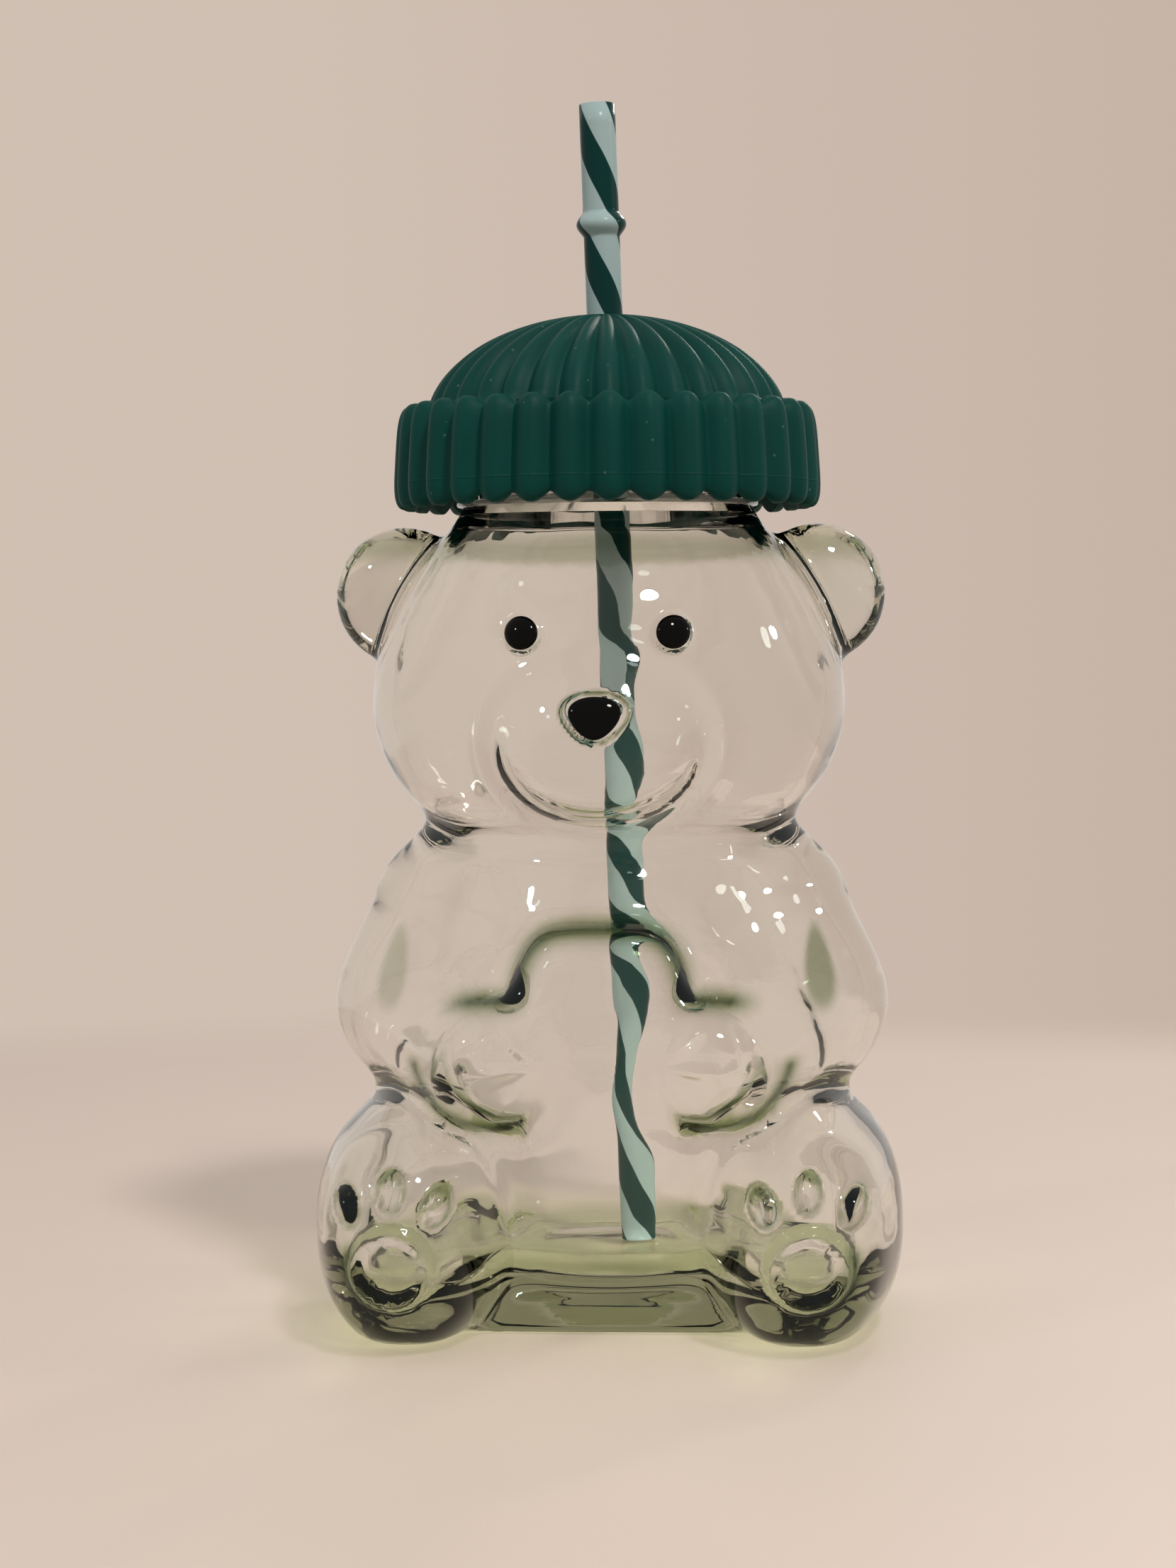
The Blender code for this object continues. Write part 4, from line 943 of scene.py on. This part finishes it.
class TUMBLER_OT_bear_glass(bpy.types.Operator):
    """Builds the bear-shaped glass: outer skin, threaded neck, rim and inner skin as one closed surface"""

    bl_idname = "tumbler.bear_glass"
    bl_label = "Bear glass"

    def execute(self, context):
        outer = skin(outer_skin, SKIN_COLUMNS, 1, (40, 24, 8))
        outer = outer + outward(outer) * raised_marks(outer)[..., None]
        inner = skin(inner_skin, SKIN_COLUMNS, 2, (16, 8, 4))
        low, high = (np.array(corner) - NECK_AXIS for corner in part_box("glass_bear"))
        outer = np.clip(outer, low, high)
        rows = np.concatenate((outer[:-1], neck_rows(column_angles(outer.shape[1])), inner[-2::-1]))
        tips = ((0, 0, PUNT_DEPTH * (1 - (PUNT_BACK / PUNT_RADIUS) ** 2)), (0, 0, FLOOR_HEIGHT))
        # The painted shade on the glass, and the olive of its thick base, go on the outer skin as an
        # attribute
        shade_and_tint = np.zeros(rows.shape[:2])
        shade_and_tint[: len(outer)] = painted_shade_and_tint(outer)
        made = make_piece("bear_glass_body", "jar", pressed_soda_lime_glass(), rows, tips, shade_and_tint=shade_and_tint)
        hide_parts("glass_bear")
        return {"FINISHED"}


class TUMBLER_OT_face_enamel(bpy.types.Operator):
    """Builds the black enamel of the eyes and the nose, each a dome that follows the glass under it"""

    bl_idname = "tumbler.face_enamel"
    bl_label = "Eyes and nose"

    def execute(self, context):
        finish = black_glass_enamel()
        turn = even_angles(64)
        film = 0.0001
        for name, node, across, height, half, lift, dome in (
            ("right_eye_enamel", "right_eye", -EYE_SIDE, EYE_HEIGHT, (0.0028, 0.0028), EYE_LIFT, 0.0013),
            ("left_eye_enamel", "left_eye", EYE_SIDE, EYE_HEIGHT, (0.0028, 0.0028), EYE_LIFT, 0.0013),
            ("nose_enamel", "nose", 0.0, NOSE_HEIGHT - 0.0005, (0.0045, 0.0032), NOSE_LIFT, 0.0008),
        ):
            share = np.sin(np.linspace(0.06, math.pi / 2, 16))[:, None]
            up = share * half[1] * np.sin(turn)
            wide = share * half[0] * np.cos(turn)
            if node == "nose":
                wide = wide * nose_taper(up / half[1])
            # From 40 mm in front of the axis each point moves in until it lies on the glass
            ground = np.stack((across + wide, 0 * up - 0.040, height + up), axis=-1)
            for _ in range(12):
                ground[..., 1] += outer_skin(ground)
            out = outward(ground)
            bulge = dome * np.sqrt(np.maximum(1 - share**2, 0)) + film
            top = ground + out * (lift + film + bulge)[..., None]
            under = ground + out * (lift + film)
            rows = np.concatenate((top, under[::-1]))
            made = make_piece(name, "jar", finish, rows, (top[0].mean(axis=0), under[0].mean(axis=0)))
            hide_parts(node)
        return {"FINISHED"}


class TUMBLER_OT_ribbed_cover(bpy.types.Operator):
    """Builds the ribbed hat cover, whose skin swells between a crest line and a groove line"""

    bl_idname = "tumbler.ribbed_cover"
    bl_label = "Ribbed cover"

    def execute(self, context):
        settings = context.scene.tumbler_cover
        (crest, crest_height), (groove, groove_height) = cover_lines()
        columns = settings.rib_count * 18
        angles = even_angles(columns)
        share = np.abs(np.sin(settings.rib_count * angles / 2))
        # How far down into the groove: the drop of a circle's edge, 0 on the crest and 1 in the groove
        roundness = 0.975
        sunk = (1 - np.sqrt(1 - roundness * share**2)) / (1 - math.sqrt(1 - roundness))
        radius = crest[:, None] + (groove - crest)[:, None] * sunk
        height = crest_height[:, None] + (groove_height - crest_height)[:, None] * sunk
        outside = turned_rows(radius, height, angles + settings.turn)
        # Inside, from below: the cuff, a bead that snaps under the cap's flange, its seat, and the dome
        bead, bead_top = FLANGE_RADIUS - 0.0006, CAP_UNDERSIDE - GAP
        seat, seat_top = FLANGE_RADIUS + FLANGE_GAP, CAP_UNDERSIDE + CAP_PLATE + GAP
        line = [(CUFF_INNER_RADIUS, CUFF_BOTTOM + COVER_WALL), (CUFF_INNER_RADIUS, bead_top - 0.0045)]
        line += [(bead, bead_top - 0.0027), (bead, bead_top), (seat, bead_top), (seat, seat_top)]
        reach, rise = DOME_RADIUS - COVER_WALL, DOME_RISE - COVER_WALL
        angle = np.linspace(math.asin((seat_top - DOME_FOOT) / rise), math.acos(STRAW_HOLE / reach), 12)
        line += list(zip(reach * np.cos(angle), DOME_FOOT + rise * np.sin(angle)))
        inside = turned_line(line[::-1], angles + settings.turn)
        rows = np.concatenate((outside, inside))
        made = make_piece("ribbed_cover", "lid", moulded_green_silicone(), rows, sharp=42)
        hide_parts("beanie_cover")
        return {"FINISHED"}


class TUMBLER_OT_lid_inside(bpy.types.Operator):
    """Builds the screw cap, its gasket and the straw grommet, which the cover hides from outside"""

    bl_idname = "tumbler.lid_inside"
    bl_label = "Cap, gasket and grommet"

    def execute(self, context):
        settings = context.scene.tumbler_cover
        angles = even_angles(120)
        white = pale_plastic("polypropylene", settings.cap_colour, 0.38, 1.49)
        soft = pale_plastic("pale_silicone", settings.seal_colour, 0.5, 1.43)
        # The cap from inside: skirt, plate, chimney, the plate's top with its flange, and the skirt's outside
        bore, outer, cut, chimney_bore, chimney, fillet = 0.0269, 0.0287, 0.0004, 0.0059, 0.0080, 0.0006
        foot, top = RIM_HEIGHT - 0.0096, CAP_UNDERSIDE + CAP_PLATE
        line = [(bore, foot + cut), (bore, CAP_UNDERSIDE), (chimney_bore, CAP_UNDERSIDE)]
        line += [(chimney_bore, CHIMNEY_TOP), (chimney - CHAMFER, CHIMNEY_TOP)]
        line += [(chimney, CHIMNEY_TOP - CHAMFER), (chimney, top + fillet), (chimney + fillet, top)]
        line += [(FLANGE_RADIUS - CHAMFER, top), (FLANGE_RADIUS, top - CHAMFER)]
        line += [(FLANGE_RADIUS, CAP_UNDERSIDE), (outer, CAP_UNDERSIDE)]
        line += [(outer, foot + cut), (outer - cut, foot), (bore + cut, foot)]
        made = make_piece("cap_shell", "lid", white, turned_line(line, angles), sharp=35)
        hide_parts("screw_cap")
        # The gasket: a superellipse of power 6 carried round the axis
        ring = np.linspace(0, 2 * math.pi, 24, endpoint=False)
        middle, half_width, half_height = 0.0243, 0.0023, 0.0007
        radius = middle + half_width * squared_off(np.cos(ring), 6)
        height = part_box("cap_gasket")[0][2] + half_height + half_height * squared_off(np.sin(ring), 6)
        made = make_piece("seal_ring", "seal", soft, turned_rows(radius, height, angles), sharp=35)
        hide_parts("cap_gasket")
        # The grommet: a stem inside the chimney under a brim that sits on it
        bore, stem, brim, thick, tall, lip = 0.0037, 0.0056, 0.0079, 0.0011, 0.0076, 0.0002
        top = CHIMNEY_TOP + GAP + thick
        line = [(bore, top - tall), (bore, top - lip), (bore + lip, top), (brim - CHAMFER, top)]
        line += [(brim, top - CHAMFER), (brim, top - thick), (stem, top - thick)]
        line += [(stem, top - tall + lip), (stem - lip, top - tall)]
        made = make_piece("grommet_ring", "grommet", soft, turned_line(line, angles[::2]), sharp=35)
        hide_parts("straw_grommet")
        return {"FINISHED"}


class TUMBLER_OT_striped_straw(bpy.types.Operator):
    """Builds the leaning straw: a tube with round lips and a stop ring, its stripes on its own UV map"""

    bl_idname = "tumbler.striped_straw"
    bl_label = "Striped straw"

    def execute(self, context):
        settings = context.scene.tumbler_straw
        lean = math.atan(STRAW_LEAN)
        foot = (FLOOR_HEIGHT + GAP + settings.radius * math.sin(lean) - BUSH_MIDDLE) / math.cos(lean)
        length = STRAW_SHOWING - foot
        lip = settings.wall / 2
        middle = settings.radius - lip
        side = np.linspace(0, math.pi, 7)
        # Outside: straight, with a stop ring whose section is a raised cosine to the power 0.6
        ring_depth, ring_radius, ring_half = 0.0215, 0.0045, 0.0022
        near, clear = 0.0030, 0.0045
        depth = np.concatenate(
            (
                np.linspace(length - lip, ring_depth + clear, 46),
                np.linspace(ring_depth + near, ring_depth - near, 25),
                np.linspace(ring_depth - clear, lip, 6),
            )
        )
        swell = 0.5 + 0.5 * np.cos(math.pi * np.clip((depth - ring_depth) / ring_half, -1, 1))
        outside = settings.radius + (ring_radius - settings.radius) * swell**0.6
        # Then over the top lip, down the bore and round the lower lip
        bore = np.full(12, middle - lip)
        radius = np.concatenate((outside, middle + lip * np.cos(side), bore, middle - lip * np.cos(side)))
        top, down = length - lip + lip * np.sin(side), np.linspace(length - lip, lip, 12)
        along = np.concatenate((length - depth, top, down, lip - lip * np.sin(side)))
        angles = even_angles(48)
        upright = turned_rows(radius, along + foot, angles)
        cosine, sine = math.cos(lean), math.sin(lean)
        axis = np.array(((cosine, 0, sine), (0, 1, 0), (-sine, 0, cosine)))
        rows = upright @ axis + np.array((0, 0, BUSH_MIDDLE))
        # The stripes' pattern starts 1.2 mm below the tip
        share = (angles / (2 * math.pi))[None, :] + 0 * along[:, None]
        uv = np.stack((share, (length - along - 0.0012)[:, None] + 0 * share), axis=-1)
        finish = striped_polypropylene()
        made = make_piece("striped_straw", "straw", finish, rows, uv=uv)
        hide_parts("straw")
        return {"FINISHED"}


class TUMBLER_OT_stage(bpy.types.Operator):
    """Sets the table, the wall, the lamps and the camera"""

    bl_idname = "tumbler.stage"
    bl_label = "Stage, lamps and camera"

    def execute(self, context):
        scene = context.scene
        settings = scene.tumbler_stage
        self.lay_table(scene, settings)
        self.light_room(scene, settings)
        self.hang_lamps(scene, settings)
        self.place_camera(scene)
        scene.view_settings.view_transform = "Standard"
        return {"FINISHED"}

    def lay_table(self, scene, settings):
        """A round table top, a hair under the glass, that fades into the wall's colour at its edge."""
        made, tree = new_finish("painted_table", settings.table)
        place = own_place(tree)
        # Painted board: faint clouds about 60 mm across
        cloud = noise(tree, place, 16.0, 2.0)
        colour = blended(tree, cloud, darker(settings.table, 0.96), settings.table)
        top = add_node(tree, "ShaderNodeBsdfPrincipled", {"Base Color": colour, "Roughness": 0.55})
        away = add_node(tree, "ShaderNodeVectorMath", {0: place}, operation="LENGTH").outputs["Value"]
        fade = ranged(tree, away, (0.34, 0.48), kind="SMOOTHSTEP")
        none = add_node(tree, "ShaderNodeBsdfTransparent")
        mixed = add_node(tree, "ShaderNodeMixShader", {0: fade, 1: top.outputs[0], 2: none.outputs[0]})
        add_node(tree, "ShaderNodeOutputMaterial", {"Surface": mixed.outputs[0]})
        rings, columns = 14, 96
        turn = even_angles(columns)
        reach = np.linspace(0.02, 0.54, rings)[:, None]
        drop = 0 * reach * turn - 0.0001
        rows = np.stack((reach * np.sin(turn), -reach * np.cos(turn), drop), axis=-1)
        mesh = bpy.data.meshes.new("table_top")
        faces = grid_faces(rings, columns, False).tolist() + [list(range(columns))[::-1]]
        mesh.from_pydata(rows.reshape(-1, 3).tolist(), [], faces)
        mesh.materials.append(made)
        table = bpy.data.objects.new("table_top", mesh)
        scene.collection.objects.link(table)

    def light_room(self, scene, settings):
        """The wall's colour behind everything, and an even light for what isn't seen directly."""
        world = scene.world or bpy.data.worlds.new("room")
        scene.world = world
        world.use_nodes = True
        tree = world.node_tree
        tree.nodes.clear()
        way = add_node(tree, "ShaderNodeTexCoord").outputs["Generated"]
        split = add_node(tree, "ShaderNodeSeparateXYZ", {0: way})
        across = ranged(tree, split.outputs[0], (-0.16, 0.16))
        wall = blended(tree, across, settings.wall_left, settings.wall_right)
        seen = add_node(tree, "ShaderNodeBackground", {"Color": wall, "Strength": 1.0})
        rise = ranged(tree, split.outputs[2], (-0.3, 0.9), (0.40, 1.35))
        spread = worked_out(tree, "MULTIPLY", rise, settings.room_light)
        path = add_node(tree, "ShaderNodeLightPath")
        level = add_node(
            tree,
            "ShaderNodeMix",
            {0: path.outputs["Is Glossy Ray"], 2: spread, 3: settings.room_shine},
            data_type="FLOAT",
        )
        light = add_node(
            tree, "ShaderNodeBackground", {"Color": (*linear("#fff8f2"), 1), "Strength": level.outputs[0]}
        )
        direct = worked_out(
            tree, "MAXIMUM", path.outputs["Is Camera Ray"], path.outputs["Is Transmission Ray"]
        )
        mixed = add_node(
            tree, "ShaderNodeMixShader", {0: direct, 1: light.outputs[0], 2: seen.outputs[0]}
        )
        add_node(tree, "ShaderNodeOutputWorld", {"Surface": mixed.outputs[0]})

    def hang_lamps(self, scene, settings):
        """A main lamp high at the right and smaller ones round the room, all small enough to sparkle."""
        aim = Vector((0, 0, 0.09))
        for name, place, size, power, colour in (
            ("main_lamp", (0.30, -0.56, 0.89), 0.13, settings.lamp_power, "#fffcf8"),
            ("right_lamp", (0.80, 0.05, 0.45), 0.07, 0.12 * settings.lamp_power, "#fffcf8"),
            ("side_lamp", (-0.60, -0.45, 0.60), 0.06, 0.15 * settings.lamp_power, "#f4f7ff"),
            ("back_lamp", (0.25, 0.60, 0.50), 0.06, 0.15 * settings.lamp_power, "#fffaf4"),
        ):
            lamp = bpy.data.lights.new(name, "AREA")
            lamp.shape = "DISK"
            lamp.size = size
            lamp.energy = power
            lamp.color = linear(colour)
            made = bpy.data.objects.new(name, lamp)
            made.location = place
            made.rotation_euler = (aim - Vector(place)).to_track_quat("-Z", "Y").to_euler()
            scene.collection.objects.link(made)

    def place_camera(self, scene):
        """The photograph's viewpoint: 0.56 m away, a little to the bear's left, tilted down 2.66 degrees."""
        turn, tilt, roll = (math.radians(angle) for angle in (3.4, 2.66, -0.45))
        ahead = Vector((-math.sin(turn), math.cos(turn), 0))
        right = Vector((math.cos(turn), math.sin(turn), 0))
        look = ahead * math.cos(tilt) - Vector((0, 0, math.sin(tilt)))
        up = Vector((0, 0, math.cos(tilt))) + ahead * math.sin(tilt)
        away, aside, height = 0.560, 0.0039, 0.1213
        place = Vector(NECK_AXIS) - ahead * away - right * aside + Vector((0, 0, height))
        camera = bpy.data.cameras.new("camera")
        camera.sensor_fit = "VERTICAL"
        camera.sensor_height = 36
        # The focal length over the photograph's height, both in its pixels
        focal, tall = 4368, 2212
        camera.lens = camera.sensor_height * focal / tall
        camera.clip_start = 0.01
        made = bpy.data.objects.new("camera", camera)
        turned = Matrix((right, up, -look)).transposed() @ Matrix.Rotation(roll, 3, "Z")
        made.matrix_world = Matrix.Translation(place) @ turned.to_4x4()
        scene.collection.objects.link(made)
        scene.camera = made


class TUMBLER_PT_pieces(bpy.types.Panel):
    """The sizes and colours, and a button for each piece"""

    bl_idname = "TUMBLER_PT_pieces"
    bl_label = "Bear glass tumbler"
    bl_space_type = "VIEW_3D"
    bl_region_type = "UI"
    bl_category = "Tumbler"

    def draw(self, context):
        scene = context.scene
        for settings, operators in (
            (scene.tumbler_glass, ("tumbler.bear_glass", "tumbler.face_enamel")),
            (scene.tumbler_cover, ("tumbler.ribbed_cover", "tumbler.lid_inside")),
            (scene.tumbler_straw, ("tumbler.striped_straw",)),
            (scene.tumbler_stage, ("tumbler.stage",)),
        ):
            box = self.layout.box()
            for name in settings.bl_rna.properties.keys():
                if name not in ("rna_type", "name"):
                    box.prop(settings, name)
            for operator in operators:
                box.operator(operator)


GROUPS = {
    "tumbler_glass": GlassSettings,
    "tumbler_cover": CoverSettings,
    "tumbler_straw": StrawSettings,
    "tumbler_stage": StageSettings,
}
CLASSES = (
    *GROUPS.values(),
    TUMBLER_OT_bear_glass,
    TUMBLER_OT_face_enamel,
    TUMBLER_OT_ribbed_cover,
    TUMBLER_OT_lid_inside,
    TUMBLER_OT_striped_straw,
    TUMBLER_OT_stage,
    TUMBLER_PT_pieces,
)


def register():
    for kind in CLASSES:
        bpy.utils.register_class(kind)
    for name, kind in GROUPS.items():
        setattr(bpy.types.Scene, name, PointerProperty(type=kind))


def unregister():
    for name in GROUPS:
        delattr(bpy.types.Scene, name)
    for kind in reversed(CLASSES):
        bpy.utils.unregister_class(kind)


def main():
    register()
    bpy.ops.tumbler.bear_glass()
    bpy.ops.tumbler.face_enamel()
    bpy.ops.tumbler.ribbed_cover()
    bpy.ops.tumbler.lid_inside()
    bpy.ops.tumbler.striped_straw()
    bpy.ops.tumbler.stage()


if __name__ == "__main__":
    main()
